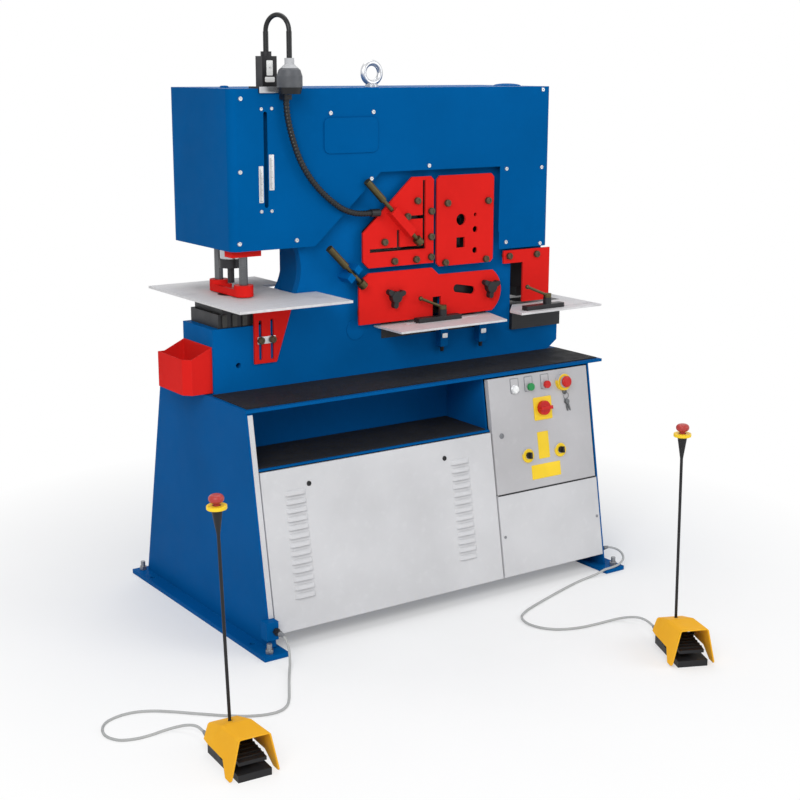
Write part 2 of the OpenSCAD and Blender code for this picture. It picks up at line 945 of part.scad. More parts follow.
// A mushroom cap: a rounded head on a short skirt
module mushroom(r, h) {
  rotate_extrude() {
    square([r - h / 2, h]);
    intersection() {
      translate([r - h / 2, h / 2]) circle(h / 2);
      square([r, h]);
    }
  }
}

module door_stop_button() color(guard_red) {
  control(emergency_u, button_drop, panel_sheet + collar_h + button_travel + gap)
    mushroom(mushroom_r, mushroom_h);
}

module main_switch() color(guard_red) {
  control(main_u, main_drop, panel_sheet + main_plate_t + gap) {
    cylinder(h = main_knob_h / 2, r = main_knob_r);
    translate([-main_knob_r, -main_grip / 2, 0]) cube([2 * main_knob_r, main_grip, main_knob_h]);
  }
}

module selector(i) {
  control(selector_us[i], selector_drop, panel_sheet + bezel_h + gap) {
    cylinder(h = selector_h / 2, r = selector_r);
    translate([-selector_grip / 2, -selector_r, 0]) cube([selector_grip, 2 * selector_r, selector_h]);
  }
}

module selector_left() color(black) selector(0);

module selector_right() color(black) selector(1);

// Outline of a frame plate with its throat, notching mouth and shear windows
module plate_outline(throat_extra) {
  difference() {
    polygon([[frame_l, deck], [frame_reach_r - corner_cut, deck], [frame_reach_r, deck + corner_rise],
      [frame_reach_r, deck + notch_seat], [notch_wall_x, deck + notch_seat],
      [notch_wall_x, deck + notch_roof], [head_r, deck + notch_roof], [head_r, frame_top],
      [jaw_l, frame_top], [jaw_l, jaw_z], [frame_l, jaw_z]]);
    translate([throat_x + throat_extra, throat_z]) circle(throat_r);
    translate([frame_l - cut, arm_z]) square([throat_x + throat_extra - frame_l + cut, 2 * throat_r + cut]);
    translate([pivot_x, pivot_z]) circle(pin_r + fit);
  }
}

module angle_window() {
  polygon([[angle_window_l, deck + angle_window_bottom], [angle_window_r, deck + angle_window_bottom],
    [angle_window_r, deck + angle_window_top], [angle_window_top_l, deck + angle_window_top],
    [angle_window_l, deck + angle_window_side]]);
}

module section_window() {
  translate([section_l, deck + section_bottom]) square([section_r - section_l, section_top - section_bottom]);
}

// The two legs of the slot that an angle bar goes through
module angle_slots(w) {
  translate([angle_x - w / 2, deck + angle_h - w / 2]) square([w, angle_leg_v]);
  translate([angle_x + w / 2 - angle_leg_u, deck + angle_h - w / 2]) square([angle_leg_u, w]);
}

// The holes for round, square and small bars
module section_holes() {
  translate([round_x, deck + round_h]) circle(round_bar_r);
  translate([square_x - square_bar / 2, deck + square_h - square_bar / 2]) square(square_bar);
  for (i = [0 : 2]) translate([small_x, deck + small_hs[i]]) circle(small_rs[i]);
}

// Bores for the bolts that hold guards and bracket
module bolt_bores() {
  for (p = concat(angle_bolts, section_bolts, notch_bolts))
    pin_y(p[0], deck + p[1], frame_front_y - cut, frame_front_y + bolt_depth + gap, bolt_r + fit);
  for (x = bracket_slot_xs)
    pin_y(x, deck + bracket_bolt_h, frame_front_y - cut, frame_front_y + bolt_depth + gap, bolt_r + fit);
}

module front_plate() {
  difference() {
    across(frame_front_y, plate_t) difference() {
      plate_outline(0);
      angle_window();
      section_window();
      translate([flat_l, deck + flat_table_h - flat_blade_h])
        square([flat_r - flat_l, flat_blade_h + flat_slot_h]);
      for (x = knob_xs) translate([x, deck + knob_h + flat_guard_lift / 2]) rotate(90)
        obround(flat_guard_lift + gap, knob_stud_r + gap);
    }
    bolt_bores();
    pin_y(frame_hole_x, deck + frame_hole_h, frame_front_y - cut, frame_front_y + plate_t + cut,
      frame_hole_r);
  }
}

module main_frame() color(frame_blue) {
  front_plate();
  across(inner_rear_y, plate_t) difference() {
    plate_outline(rear_throat_extra);
    translate([rear_window_l, deck + rear_window_bottom])
      square([rear_window_r - rear_window_l, rear_window_top - rear_window_bottom]);
  }
  box([frame_l, inner_front_y, deck], [frame_reach_r - corner_cut, inner_rear_y, deck + base_rail_h]);
  box([frame_l, inner_front_y, deck], [column_l, inner_rear_y, arm_z]);
  box([column_l, inner_front_y, deck], [column_l + column_w, inner_rear_y, frame_top]);
  box([jaw_l, inner_front_y, frame_top - top_block_h], [head_r, inner_rear_y, frame_top]);
  difference() {
    box([jaw_l, inner_front_y, jaw_z], [jaw_l + jaw_block_w, inner_rear_y, jaw_z + jaw_block_h]);
    translate([punch_x, mid_y, jaw_z - cut]) cylinder(h = jaw_block_h + 2 * cut, r = ram_r + slot_gap);
  }
  rib_z = deck + flat_table_h - table_t;
  for (x = table_rib_xs) box([x - table_rib_w / 2, frame_front_y - table_rib_d, rib_z - table_rib_h],
    [x + table_rib_w / 2, frame_front_y, rib_z]);
  screw_at(lower_screw_x, lower_screw_y, lower_screw_h) difference() {
    translate([-screw_lug_w / 2, -screw_lug_d, -screw_lug_l / 2])
      cube([screw_lug_w, screw_lug_d + frame_front_y - lower_screw_y, screw_lug_l]);
    translate([0, 0, -screw_lug_l]) {
      cylinder(h = 2 * screw_lug_l, r = screw_r + fit);
      translate([-screw_r - fit, -screw_lug_d - cut, 0])
        cube([2 * screw_r + 2 * fit, screw_lug_d + cut, 2 * screw_lug_l]);
    }
  }
}

// Plan of the cover, drawn in by an inset
module cover_plan(inset) {
  r = cover_corner_r - inset;
  x0 = cover_l + inset;
  x1 = cover_reach_r - inset;
  y0 = cover_front_y + inset;
  y1 = cover_front_y + cover_depth - inset;
  translate([x0 + r, y0]) square([x1 - x0 - 2 * r, y1 - y0]);
  translate([x0, y0 + r]) square([x1 - x0, y1 - y0 - 2 * r]);
  for (x = [x0 + r, x1 - r], y = [y0 + r, y1 - r]) translate([x, y]) circle(r);
}

module upper_cover() color("#0f62a8") {
  strip_bottom = cover_bottom - strip_drop;
  difference() {
    translate([0, 0, strip_bottom]) linear_extrude(cover_top - strip_bottom) cover_plan(0);
    translate([0, 0, strip_bottom - cut]) linear_extrude(cover_top - cover_sheet - strip_bottom + cut)
      cover_plan(cover_sheet);
    box([cover_l - cut, cover_front_y - cut, strip_bottom - cut],
      [strip_l, cover_front_y + cover_depth + cut, cover_bottom]);
    across(cover_front_y - cut, cover_corner_r) polygon([[cutout_l, cover_bottom - cut],
      [cutout_diag_x, cutout_top], [strip_l, cutout_top], [strip_l * cutout_share, cover_bottom - cut]]);
    across(cover_front_y - cut, cover_corner_r)
      translate([stroke_slot_x, stroke_slot_bottom + stroke_slot_h / 2]) rotate(90)
      obround(stroke_slot_h - stroke_slot_w, stroke_slot_w / 2);
    translate([eye_x, mid_y, cover_top - cover_sheet - cut])
      cylinder(h = cover_sheet + 2 * cut, r = eye_shank_r + gap);
  }
}

module eye_bolt() color(steel) {
  translate([eye_x, mid_y, cover_top]) {
    cylinder(h = eye_collar_h, r = eye_collar_r);
    translate([0, 0, -cover_sheet]) cylinder(h = cover_sheet + eye_collar_h, r = eye_shank_r);
    translate([0, 0, eye_collar_h + eye_r + eye_wire_r / 2]) rotate([90, 0, 0])
      rotate_extrude() translate([eye_r, 0]) circle(eye_wire_r);
  }
}

module lamp_base() color(black) {
  box([lamp_x - lamp_plate_w / 2, cover_front_y - lamp_plate_t, cover_top],
    [lamp_x + lamp_plate_w / 2, lamp_y + lamp_box_d / 2, cover_top + lamp_plate_t]);
  box([lamp_x - lamp_plate_w / 2, cover_front_y - lamp_plate_t, cover_top - lamp_lip],
    [lamp_x + lamp_plate_w / 2, cover_front_y, cover_top]);
  translate([lamp_x - lamp_box_w / 2, lamp_y - lamp_box_d / 2, cover_top + lamp_plate_t])
    cube([lamp_box_w, lamp_box_d, lamp_box_h]);
  translate([lamp_x, lamp_y, neck_z0 - lamp_collar_h]) cylinder(h = lamp_collar_h, r = lamp_collar_r);
}

module lamp_neck() color(black) {
  translate([lamp_x, lamp_y, neck_z0]) cylinder(h = neck_rise, r = neck_r + neck_sleeve);
  translate([(lamp_x + neck_x2) / 2, (lamp_y + neck_y2) / 2, neck_z1]) rotate([90, 0, neck_turn - 90])
    rotate_extrude(angle = 180) translate([neck_span / 2, 0]) circle(neck_r);
  translate([neck_x2, neck_y2, bell_top]) cylinder(h = neck_z1 - bell_top, r = neck_r + neck_sleeve);
}

module lamp_head() color("#77797c") {
  translate([neck_x2, neck_y2, bell_top - bell_h]) rotate_extrude() polygon([
    [bell_mouth_r - bell_wall, 0], [bell_mouth_r, 0], [bell_r, bell_rim_h], [bell_r, bell_h / 2],
    [bell_shoulder_r, bell_h - bell_cap_h],
    [bell_cap_r, bell_h - bell_cap_h / 2], [bell_cap_r, bell_h], [0, bell_h], [0, bell_h - bell_cap_h],
    [bell_shoulder_r - bell_wall, bell_h - bell_cap_h - bell_wall], [bell_r - bell_wall, bell_h / 2],
    [bell_r - bell_wall, bell_rim_h]]);
}

// Points on a smooth curve through four route points, between the middle two
function curve_point(a, b, c, d, t) = 0.5 * (2 * b + t * (c - a) + t * t * (2 * a - 5 * b + 4 * c - d)
  + t * t * t * (3 * b - a - 3 * c + d));
function route_point(route, i) = route[max(0, min(len(route) - 1, i))];
function curve(route, steps) = [for (i = [0 : len(route) - 2], k = [0 : steps - 1])
  curve_point(route_point(route, i - 1), route[i], route[i + 1], route_point(route, i + 2), k / steps),
  route[len(route) - 1]];
function unit(v) = v / norm(v);
function heading(path, i) = unit(route_point(path, i + 1) - route_point(path, i - 1));

// A ring of points round a path, turned to stay level
function ring(path, i, r, sides) =
  let (d = heading(path, i), flat = norm([d[0], d[1]]), s = flat < steep_share ? [0, 1, 0] : [0, 0, 1],
    u = unit(cross(d, s)), v = cross(u, d))
  [for (k = [0 : sides - 1]) path[i] + r * (cos(360 * k / sides) * u + sin(360 * k / sides) * v)];
function strip(a, b, sides) = [for (k = [0 : sides - 1]) each
  [[a + k, b + k, b + (k + 1) % sides], [a + k, b + (k + 1) % sides, a + (k + 1) % sides]]];
function fan(a, sides, flip) = [for (k = [1 : sides - 2])
  flip ? [a, a + k, a + k + 1] : [a, a + k + 1, a + k]];

// A solid round cord along a path
module cord(path, r, sides) {
  n = len(path);
  points = [for (i = [0 : n - 1]) each ring(path, i, r, sides)];
  polyhedron(points, concat(fan(0, sides, false), fan((n - 1) * sides, sides, true),
    [for (i = [0 : n - 2]) each [for (f = strip(i * sides, (i + 1) * sides, sides)) [f[2], f[1], f[0]]]]));
}

// A ribbed hose along a path, with its bore: crest and root rings take turns
module ribbed_hose(path, crest, root, bore, sides) {
  n = len(path);
  last = 2 * n - 1;
  outer = [for (i = [0 : n - 1])
    each ring(path, i, (i < 2 || i > n - 3 || i % 2 == 0) ? crest : root, sides)];
  inner = [for (i = [0 : n - 1]) each ring(path, i, bore, sides)];
  walls = [for (i = [0 : n - 2])
    each [for (f = strip(i * sides, (i + 1) * sides, sides)) [f[2], f[1], f[0]]]];
  liner = [for (i = [n : last - 1]) each strip(i * sides, (i + 1) * sides, sides)];
  ends = concat(strip(0, n * sides, sides),
    [for (f = strip((n - 1) * sides, last * sides, sides)) [f[2], f[1], f[0]]]);
  polyhedron(concat(outer, inner), concat(walls, liner, ends));
}

module flexible_conduit() color(black) {
  ribbed_hose(curve(conduit_route, 2 * conduit_ribs), conduit_r, conduit_root_r, conduit_bore_r, 8);
}

module left_cord() color("#a8a9ab") cord(left_route, cord_r, 8);

module right_cord() color("#a8a9ab") cord(right_route, cord_r, 8);

// One hydraulic cylinder: barrel from z0 to z1 with a chamber and a rod bore
module cylinder_barrel(x, z0, z1, rod) {
  translate([x, mid_y, 0]) difference() {
    translate([0, 0, z0]) cylinder(h = z1 - z0, r = cylinder_r);
    translate([0, 0, z0 + cylinder_wall]) cylinder(h = z1 - z0 - 2 * cylinder_wall, r = piston_r);
    translate([0, 0, z0 - cut]) cylinder(h = cylinder_wall + 2 * cut, r = rod + fit);
  }
}

module cylinders() color(steel) {
  cylinder_barrel(punch_x, jaw_z + jaw_block_h, frame_top - top_block_h, ram_r);
  cylinder_barrel(shear_cylinder_x, deck + shear_cylinder_h, frame_top - top_block_h, rod_r);
}

module punch_rod() color(steel) {
  piston_z = frame_top - top_block_h - piston_drop - piston_h;
  translate([punch_x, mid_y, deck + ram_bottom_h])
    cylinder(h = piston_z - deck - ram_bottom_h + cut, r = ram_r);
  translate([punch_x, mid_y, piston_z]) cylinder(h = piston_h, r = piston_r - fit);
}

module punch_tool() color(black) {
  translate([punch_x, mid_y, deck + ram_bottom_h - holder_h]) {
    cylinder(h = holder_h, r = holder_r);
    translate([0, 0, -punch_l]) cylinder(h = punch_l + cut, r = punch_r);
  }
}

// Children at the front and rear posts of the stripper
module at_posts() {
  for (s = [-1, 1]) translate([punch_x, mid_y + s * post_reach, 0]) children();
}

module stripper() color(guard_red) {
  z0 = table_top + stripper_gap;
  r = stripper_w / 2;
  difference() {
    union() {
      box([punch_x - r, mid_y - post_reach, z0], [punch_x + r, mid_y + post_reach, z0 + stripper_h]);
      at_posts() translate([0, 0, z0]) cylinder(h = stripper_boss_h, r = r);
    }
    box([punch_x - r + stripper_wall, mid_y - post_reach + r, z0 + stripper_foot_t],
      [punch_x + r + cut, mid_y + post_reach - r, z0 + stripper_h + cut]);
    translate([punch_x, mid_y, z0 - cut]) cylinder(h = stripper_foot_t + 2 * cut, r = stripper_hole_r);
    at_posts() translate([0, 0, z0 + stripper_foot_t]) cylinder(h = stripper_boss_h, r = post_r);
  }
}

module stripper_posts() color(steel) {
  at_posts() translate([0, 0, table_top + stripper_gap + stripper_foot_t]) cylinder(h = post_h, r = post_r);
}

// Guide blocks of the stripper posts: the front one shows, the rear one stays inside the cover
module punch_yoke() color(guard_red) {
  for (i = [0, 1]) translate([punch_x, mid_y + (2 * i - 1) * post_reach, 0]) difference() {
    union() {
      box([-yoke_w / 2, -yoke_d / 2, deck + yoke_hs[i]], [yoke_w / 2, yoke_d / 2, jaw_z - yoke_relief]);
      box([-yoke_w / 2, -yoke_d / 2, deck + yoke_hs[i]], [throat_x - punch_x, yoke_d / 2, jaw_z]);
    }
    translate([0, 0, deck + yoke_hs[i] - cut]) cylinder(h = jaw_z - deck - yoke_hs[i], r = post_r + fit);
  }
}

module die_bolsters() color(black) {
  difference() {
    union() {
      box([punch_x - bolster_foot_w / 2, mid_y - bolster_d / 2, arm_z],
        [throat_x, mid_y + bolster_d / 2, arm_z + bolster_foot_h]);
      box([throat_x - cut, mid_y - bolster_d / 2, arm_z + bolster_relief],
        [punch_x + bolster_foot_w / 2, mid_y + bolster_d / 2, arm_z + bolster_foot_h]);
      box([punch_x - bolster_w / 2, mid_y - bolster_d / 2, arm_z + bolster_foot_h],
        [punch_x + bolster_w / 2, mid_y + bolster_d / 2, table_bottom]);
      translate([punch_x, mid_y, arm_z + bolster_foot_h])
        cylinder(h = table_top - arm_z - bolster_foot_h, r = die_r);
    }
    translate([punch_x, mid_y, arm_z - cut])
      cylinder(h = punch_table_h + 2 * cut, r = punch_r + die_bore_gap);
    translate([punch_x, mid_y, arm_z - cut]) cylinder(h = punch_table_h - slug_depth + cut, r = slug_r);
  }
  difference() {
    box([notch_wall_x + gap, frame_front_y - notch_die_front, deck + notch_seat],
      [frame_reach_r, inner_rear_y, deck + notch_table_h]);
    box([notch_punch_l - notch_clearance, notch_punch_y - notch_clearance, deck + notch_seat - cut],
      [notch_punch_l + notch_punch_w + notch_clearance, notch_punch_y + notch_punch_d + notch_clearance,
        deck + notch_table_h + cut]);
  }
}

module punch_table() color(steel) {
  difference() {
    translate([punch_table_x, punch_table_front, table_bottom])
      cube([punch_table_w, punch_table_l, punch_table_t]);
    translate([punch_x, mid_y, table_bottom - cut]) cylinder(h = punch_table_t + 2 * cut, r = die_r + gap);
    slot_x = throat_x + sqrt(throat_r * throat_r - pow(throat_z - table_bottom, 2)) - slot_gap;
    box([slot_x, frame_front_y - slot_gap, table_bottom - cut],
      [punch_table_x + punch_table_w + cut, frame_rear_y + slot_gap, table_top + cut]);
  }
}

module table_bracket() color(guard_red) {
  difference() {
    across(frame_front_y - bracket_t, bracket_t) polygon([[bracket_l, deck + bracket_foot_h],
      [bracket_foot_r, deck + bracket_foot_h], [bracket_r, table_bottom], [bracket_l, table_bottom]]);
    across(frame_front_y - bracket_t - cut, bracket_t + 2 * cut)
      for (x = bracket_slot_xs) translate([x, deck + bracket_slot_h]) rotate(90)
        obround(bracket_slot_l, bracket_slot_r + fit);
  }
  box([bracket_l, frame_front_y - bracket_shelf_d, table_bottom - bracket_t],
    [bracket_r, frame_front_y - bracket_t, table_bottom]);
}

// Plan of the slug bin, drawn in by an inset
module bin_plan(x0, i) {
  y1 = bin_front_y + bin_d;
  polygon([[x0 + i, bin_front_y + bin_corner + i], [x0 + bin_corner + i, bin_front_y + i],
    [x0 + bin_w - i, bin_front_y + i], [x0 + bin_w - i, y1 - i], [x0 + i, y1 - i]]);
}

module slug_bin() color(guard_red) {
  x0 = frame_l - gap - bin_w;
  z0 = deck + bin_lift;
  difference() {
    translate([0, 0, z0]) linear_extrude(bin_h + bin_rise) bin_plan(x0, 0);
    translate([0, 0, z0 + bin_wall]) linear_extrude(bin_h + bin_rise) bin_plan(x0, bin_wall);
    across(bin_front_y - cut, bin_d + 2 * cut) polygon([[x0 - cut, z0 + bin_h], [x0 + bin_corner, z0 + bin_h],
      [x0 + bin_w + cut, z0 + bin_h + bin_rise], [x0 + bin_w + cut, z0 + bin_h + bin_rise + cut],
      [x0 - cut, z0 + bin_h + bin_rise + cut]]);
  }
}

module shear_rod() color(steel) {
  piston_z = frame_top - top_block_h - shear_piston_drop - piston_h;
  pad_z = deck + beam_top_h + pad_gap;
  translate([shear_cylinder_x, mid_y, 0]) {
    translate([0, 0, pad_z]) cylinder(h = pad_h + cut, r = pad_r);
    translate([0, 0, pad_z + pad_h]) cylinder(h = piston_z - pad_z - pad_h + cut, r = rod_r);
    translate([0, 0, piston_z]) cylinder(h = piston_h, r = piston_r - fit);
  }
}

module shear_beam() color(frame_blue) {
  seat_z = deck + beam_edge_h + moving_flat_seat;
  difference() {
    across(beam_front_y, beam_t) difference() {
      union() {
        polygon([[beam_left, pivot_z], [pivot_x, deck + beam_edge_h], [beam_step_x, deck + beam_edge_h],
          [beam_step_x + moving_flat_seat, deck + beam_arm_h], [beam_arm_r, deck + beam_arm_h],
          [beam_arm_r, deck + beam_arm_top_h], [beam_flank_r, deck + beam_neck_h],
          [beam_flank_r, deck + beam_flank_h], [beam_top_r, deck + beam_top_h],
          [beam_top_l, deck + beam_top_h], [beam_left, deck + beam_shoulder_h]]);
        translate([pivot_x, pivot_z]) circle(boss_r);
      }
      translate([pivot_x, pivot_z]) circle(pin_r + fit);
      angle_window();
      section_window();
    }
    box([flat_l, beam_front_y - cut, deck], [flat_r, inner_front_y + gap + blade_t, seat_z]);
  }
}

module pivot_pin() color(steel) {
  pin_y(pivot_x, pivot_z, frame_front_y + pin_recess, frame_rear_y - pin_recess, pin_r);
}

module moving_blades() color("#8d8f93") {
  y0 = inner_front_y + gap;
  across(y0, blade_t) difference() {
    angle_window();
    angle_slots(angle_slot);
  }
  across(y0, blade_t) difference() {
    section_window();
    section_holes();
  }
  across(y0, blade_t) polygon([[flat_l, deck + flat_table_h + moving_flat_open],
    [flat_r, deck + flat_table_h + moving_flat_open + moving_flat_rake],
    [flat_r, deck + beam_edge_h + moving_flat_seat], [flat_l, deck + beam_edge_h + moving_flat_seat]]);
  box([notch_punch_l, notch_punch_y, deck + notch_table_h + notch_open],
    [notch_punch_l + notch_punch_w, notch_punch_y + notch_punch_d, deck + beam_arm_h]);
}

module fixed_blades() color("#9a9ca0") {
  difference() {
    across(frame_front_y, plate_t) {
      difference() {
        angle_window();
        angle_slots(angle_slot);
      }
      difference() {
        section_window();
        section_holes();
      }
    }
    bolt_bores();
  }
  translate([flat_l, frame_front_y, deck + flat_table_h - flat_blade_h])
    cube([flat_r - flat_l, plate_t, flat_blade_h]);
}

// Holes that bolts pass through in a guard
module guard_holes(bolts) {
  for (p = bolts) translate([p[0], deck + p[1]]) circle(bolt_r + fit);
}

// Places children at a hold-down screw: local Z runs up along the screw
module screw_at(x, y, h) {
  translate([x, y, deck + h]) rotate([0, -screw_tilt, 0]) children();
}

module angle_guard() color(guard_red) {
  difference() {
    union() {
      across(guard_y, guard_t) difference() {
        polygon([[angle_guard_l, deck + angle_guard_bottom + angle_guard_corner],
          [angle_guard_l + angle_guard_corner, deck + angle_guard_bottom],
          [angle_guard_r, deck + angle_guard_bottom],
          [angle_guard_r, deck + angle_guard_top - section_guard_corner],
          [angle_guard_r - section_guard_corner, deck + angle_guard_top],
          [angle_guard_top_l, deck + angle_guard_top], [angle_guard_l, deck + angle_guard_side]]);
        angle_slots(angle_slot);
        translate([side_slot_x - angle_slot / 2, deck + angle_h]) square([angle_slot, side_slot_l]);
        translate([cross_slot_x, deck + cross_slot_h - angle_slot / 2])
          square([angle_x - cross_slot_x, angle_slot]);
        guard_holes(angle_bolts);
      }
      screw_at(upper_screw_x, upper_screw_y, upper_screw_h)
        translate([-upper_block_w / 2, -upper_block_w / 2, -upper_block_l])
        cube([upper_block_w, guard_y - upper_screw_y + upper_block_w / 2, upper_block_l]);
    }
    screw_at(upper_screw_x, upper_screw_y, upper_screw_h) translate([0, 0, -upper_block_l - cut])
      cylinder(h = upper_block_l + 2 * cut, r = screw_r + fit);
  }
}

module section_guard() color(guard_red) {
  c = section_guard_corner;
  across(guard_y, guard_t) difference() {
    polygon([[section_guard_l + c, deck + section_guard_bottom],
      [section_guard_r - c, deck + section_guard_bottom],
      [section_guard_r, deck + section_guard_bottom + c], [section_guard_r, deck + angle_guard_top - c],
      [section_guard_r - c, deck + angle_guard_top], [section_guard_l + c, deck + angle_guard_top],
      [section_guard_l, deck + angle_guard_top - c], [section_guard_l, deck + section_guard_bottom + c]]);
    section_holes();
    guard_holes(section_bolts);
  }
}

module flat_guard() color(guard_red) {
  top = deck + flat_guard_top;
  end_x = flat_guard_r - flat_end_r;
  across(guard_y, guard_t) difference() {
    intersection() {
      polygon([[flat_guard_l, deck + flat_guard_bottom], [flat_guard_r, deck + flat_guard_bottom],
        [flat_guard_r, top - flat_guard_step - cut], [flat_guard_step_r, top - flat_guard_step],
        [flat_guard_step_l, top], [flat_guard_l + flat_guard_corner, top],
        [flat_guard_l, top - flat_guard_step]]);
      union() {
        translate([flat_guard_l, deck]) square([end_x - flat_guard_l, flat_guard_top]);
        translate([end_x, deck + flat_end_h]) circle(flat_end_r);
      }
    }
    translate([flat_notch_x - flat_notch_w / 2, deck + flat_guard_bottom - cut])
      square([flat_notch_w, flat_notch_h + cut]);
    translate([flat_obround_x, deck + flat_obround_h]) rotate(flat_obround_tilt)
      obround(flat_obround_l, flat_obround_r);
    for (x = knob_xs) translate([x, deck + knob_h]) circle(knob_stud_r + fit);
  }
}

module notch_guard() color(guard_red) {
  across(guard_y, guard_t) difference() {
    union() {
      translate([notch_guard_l, deck + notch_guard_bottom])
        square([notch_guard_r - notch_guard_l, notch_guard_top - notch_guard_bottom]);
      translate([notch_block_l, deck + notch_guard_top - notch_block_h])
        square([notch_block_w + guard_t, notch_block_h]);
    }
    guard_holes(notch_bolts);
  }
}

// One guard bolt: head, shank and the spacer collar behind the held plate
module bolt(x, h, plate, stand) {
  front = frame_front_y - stand - plate;
  pin_y(x, deck + h, front, frame_front_y + bolt_depth, bolt_r);
  pin_y(x, deck + h, front - bolt_head_h, front, bolt_head_r);
  if (stand > 0) pin_y(x, deck + h, front + plate, frame_front_y, bolt_collar_r);
}

module guard_bolts() color(steel) {
  for (p = concat(angle_bolts, section_bolts, notch_bolts)) bolt(p[0], p[1], guard_t, guard_stand);
  for (x = bracket_slot_xs) bolt(x, bracket_bolt_h, bracket_t, 0);
}

// A wing knob with its stud and the collar behind the guard
module wing_knob(x) {
  z = deck + knob_h;
  front = guard_y - gap;
  pin_y(x, z, front - knob_hub_h, front, knob_hub_r);
  pin_y(x, z, front - cut, frame_front_y + knob_stud_in, knob_stud_r);
  pin_y(x, z, guard_y + guard_t + gap, frame_front_y - gap, knob_collar_r);
  for (k = [1 : knob_arms]) translate([x, front, z]) rotate([90, knob_turn + k * 360 / knob_arms, 0]) {
    translate([0, -knob_wing_w / 2, cut]) cube([knob_wing_l, knob_wing_w, knob_wing_h]);
    translate([knob_wing_l, 0, cut]) cylinder(h = knob_wing_h, r = knob_wing_w / 2);
  }
}

module wing_knob_left() color(black) wing_knob(knob_xs[0]);

module wing_knob_right() color(black) wing_knob(knob_xs[1]);

// A hold-down screw: grip at the upper end, foot at the lower end
module holddown(up, down) {
  translate([0, 0, -down]) cylinder(h = up + down, r = screw_r);
  translate([0, 0, up]) cylinder(h = grip_l, r = grip_r);
  translate([0, 0, -down - screw_foot_l]) cylinder(h = screw_foot_l + cut, r = screw_foot_r);
}

module holddown_upper() color(black) {
  screw_at(upper_screw_x, upper_screw_y, upper_screw_h)
    holddown(upper_screw_up - grip_l / 2, upper_screw_down);
}

module holddown_lower() color(black) {
  screw_at(lower_screw_x, lower_screw_y, lower_screw_h)
    holddown(lower_screw_up - grip_l / 2, lower_screw_down);
}

module flat_table() color(steel) {
  z = deck + flat_table_h;
  y1 = frame_front_y;
  difference() {
    translate([0, 0, z - table_t]) linear_extrude(table_t) polygon([[flat_table_l, y1],
      [flat_table_l, y1 - flat_table_d],
      [flat_table_r - flat_table_corner, y1 - flat_table_d], [flat_table_r, y1]]);
    box([flat_slot_l, flat_slot_y - stop_slot_w / 2, z - stop_tongue - gap],
      [flat_slot_r, flat_slot_y + stop_slot_w / 2, z + cut]);
  }
}

// A stop that slides along a table slot: base, tongue and clamp post with a bore
module stop(x, y, z, l) {
  translate([x, y, z]) difference() {
    union() {
      translate([-l / 2 - stop_lead, -stop_d / 2, gap]) cube([l, stop_d, stop_h - gap]);
      translate([-l / 2 - stop_lead, -stop_tongue_w / 2, -stop_tongue])
        cube([l, stop_tongue_w, stop_tongue + stop_h]);
      cylinder(h = stop_h + stop_post_h, r = stop_post_r);
    }
    translate([0, 0, stop_h + stop_post_h - lever_screw_l - cut])
      cylinder(h = lever_screw_l + 2 * cut, r = lever_screw_r + fit);
  }
}

// The clamp lever on a stop's post
module lever(x, y, z) {
  translate([x, y, z + stop_h + stop_post_h + gap]) {
    translate([0, 0, -lever_screw_l]) cylinder(h = lever_screw_l + cut, r = lever_screw_r);
    cylinder(h = lever_hub_h, r = lever_hub_r);
    translate([0, 0, lever_hub_h / 2]) rotate([0, -90 + lever_rise, 0]) {
      cylinder(h = lever_l, r = lever_r);
      translate([0, 0, lever_l]) sphere(lever_knob_r);
    }
  }
}

module flat_stop() color(black) stop(stop_x, flat_slot_y, deck + flat_table_h, stop_l);

module flat_lever() color(black) lever(stop_x, flat_slot_y, deck + flat_table_h);

module notch_table() color("#4a4c50") {
  z = deck + notch_table_h;
  rear = frame_front_y - notch_die_front;
  side = frame_reach_r;
  difference() {
    translate([0, 0, z - table_t]) linear_extrude(table_t) polygon([[notch_table_l, notch_table_front],
      [notch_table_r, notch_table_front], [notch_table_r, notch_table_rear], [side, notch_table_rear],
      [side, rear], [notch_wall_x, rear], [notch_table_l, notch_table_front + notch_table_end]]);
    box([notch_slot_l, notch_slot_y - stop_slot_w / 2, z - stop_tongue - gap],
      [notch_slot_r, notch_slot_y + stop_slot_w / 2, z + cut]);
  }
}

module notch_stop() color(black) stop(notch_stop_x, notch_slot_y, deck + notch_table_h, notch_stop_l);

module notch_lever() color(black) lever(notch_stop_x, notch_slot_y, deck + notch_table_h);

// Places children at a pedal: front towards local -Y, origin on the floor in its middle
module at_pedal(i) {
  translate([pedal_entries[i][0], pedal_entries[i][1], 0]) rotate(pedal_turns[i])
    translate([entry_x, -gland_l - pedal_back, 0]) children();
}

// Places children at a pedal's pole, with local Z along it
module at_pole(i) {
  at_pedal(i) translate([0, pole_y, housing_h]) rotate([0, pole_leans[i], 0])
    translate([0, 0, -housing_h]) children();
}

// A slice of the hood at y, round at both upper edges
module hood_slice(y, h, inset) {
  translate([0, y, 0]) rotate([90, 0, 0]) linear_extrude(gap) hull() {
    for (s = [-1, 1]) translate([s * (hood_top_w / 2 - hood_r), h - hood_r]) circle(hood_r - inset);
    translate([inset - pedal_w / 2, -cut]) square([pedal_w - 2 * inset, cut]);
  }
}

module hood_form(inset) {
  hull() {
    hood_slice(pedal_back - inset, hood_rear_h, inset);
    hood_slice(hood_fold_y, hood_fold_h, inset);
  }
  hull() {
    hood_slice(hood_fold_y, hood_fold_h, inset);
    hood_slice(-pedal_back - inset, pedal_h, inset);
  }
}

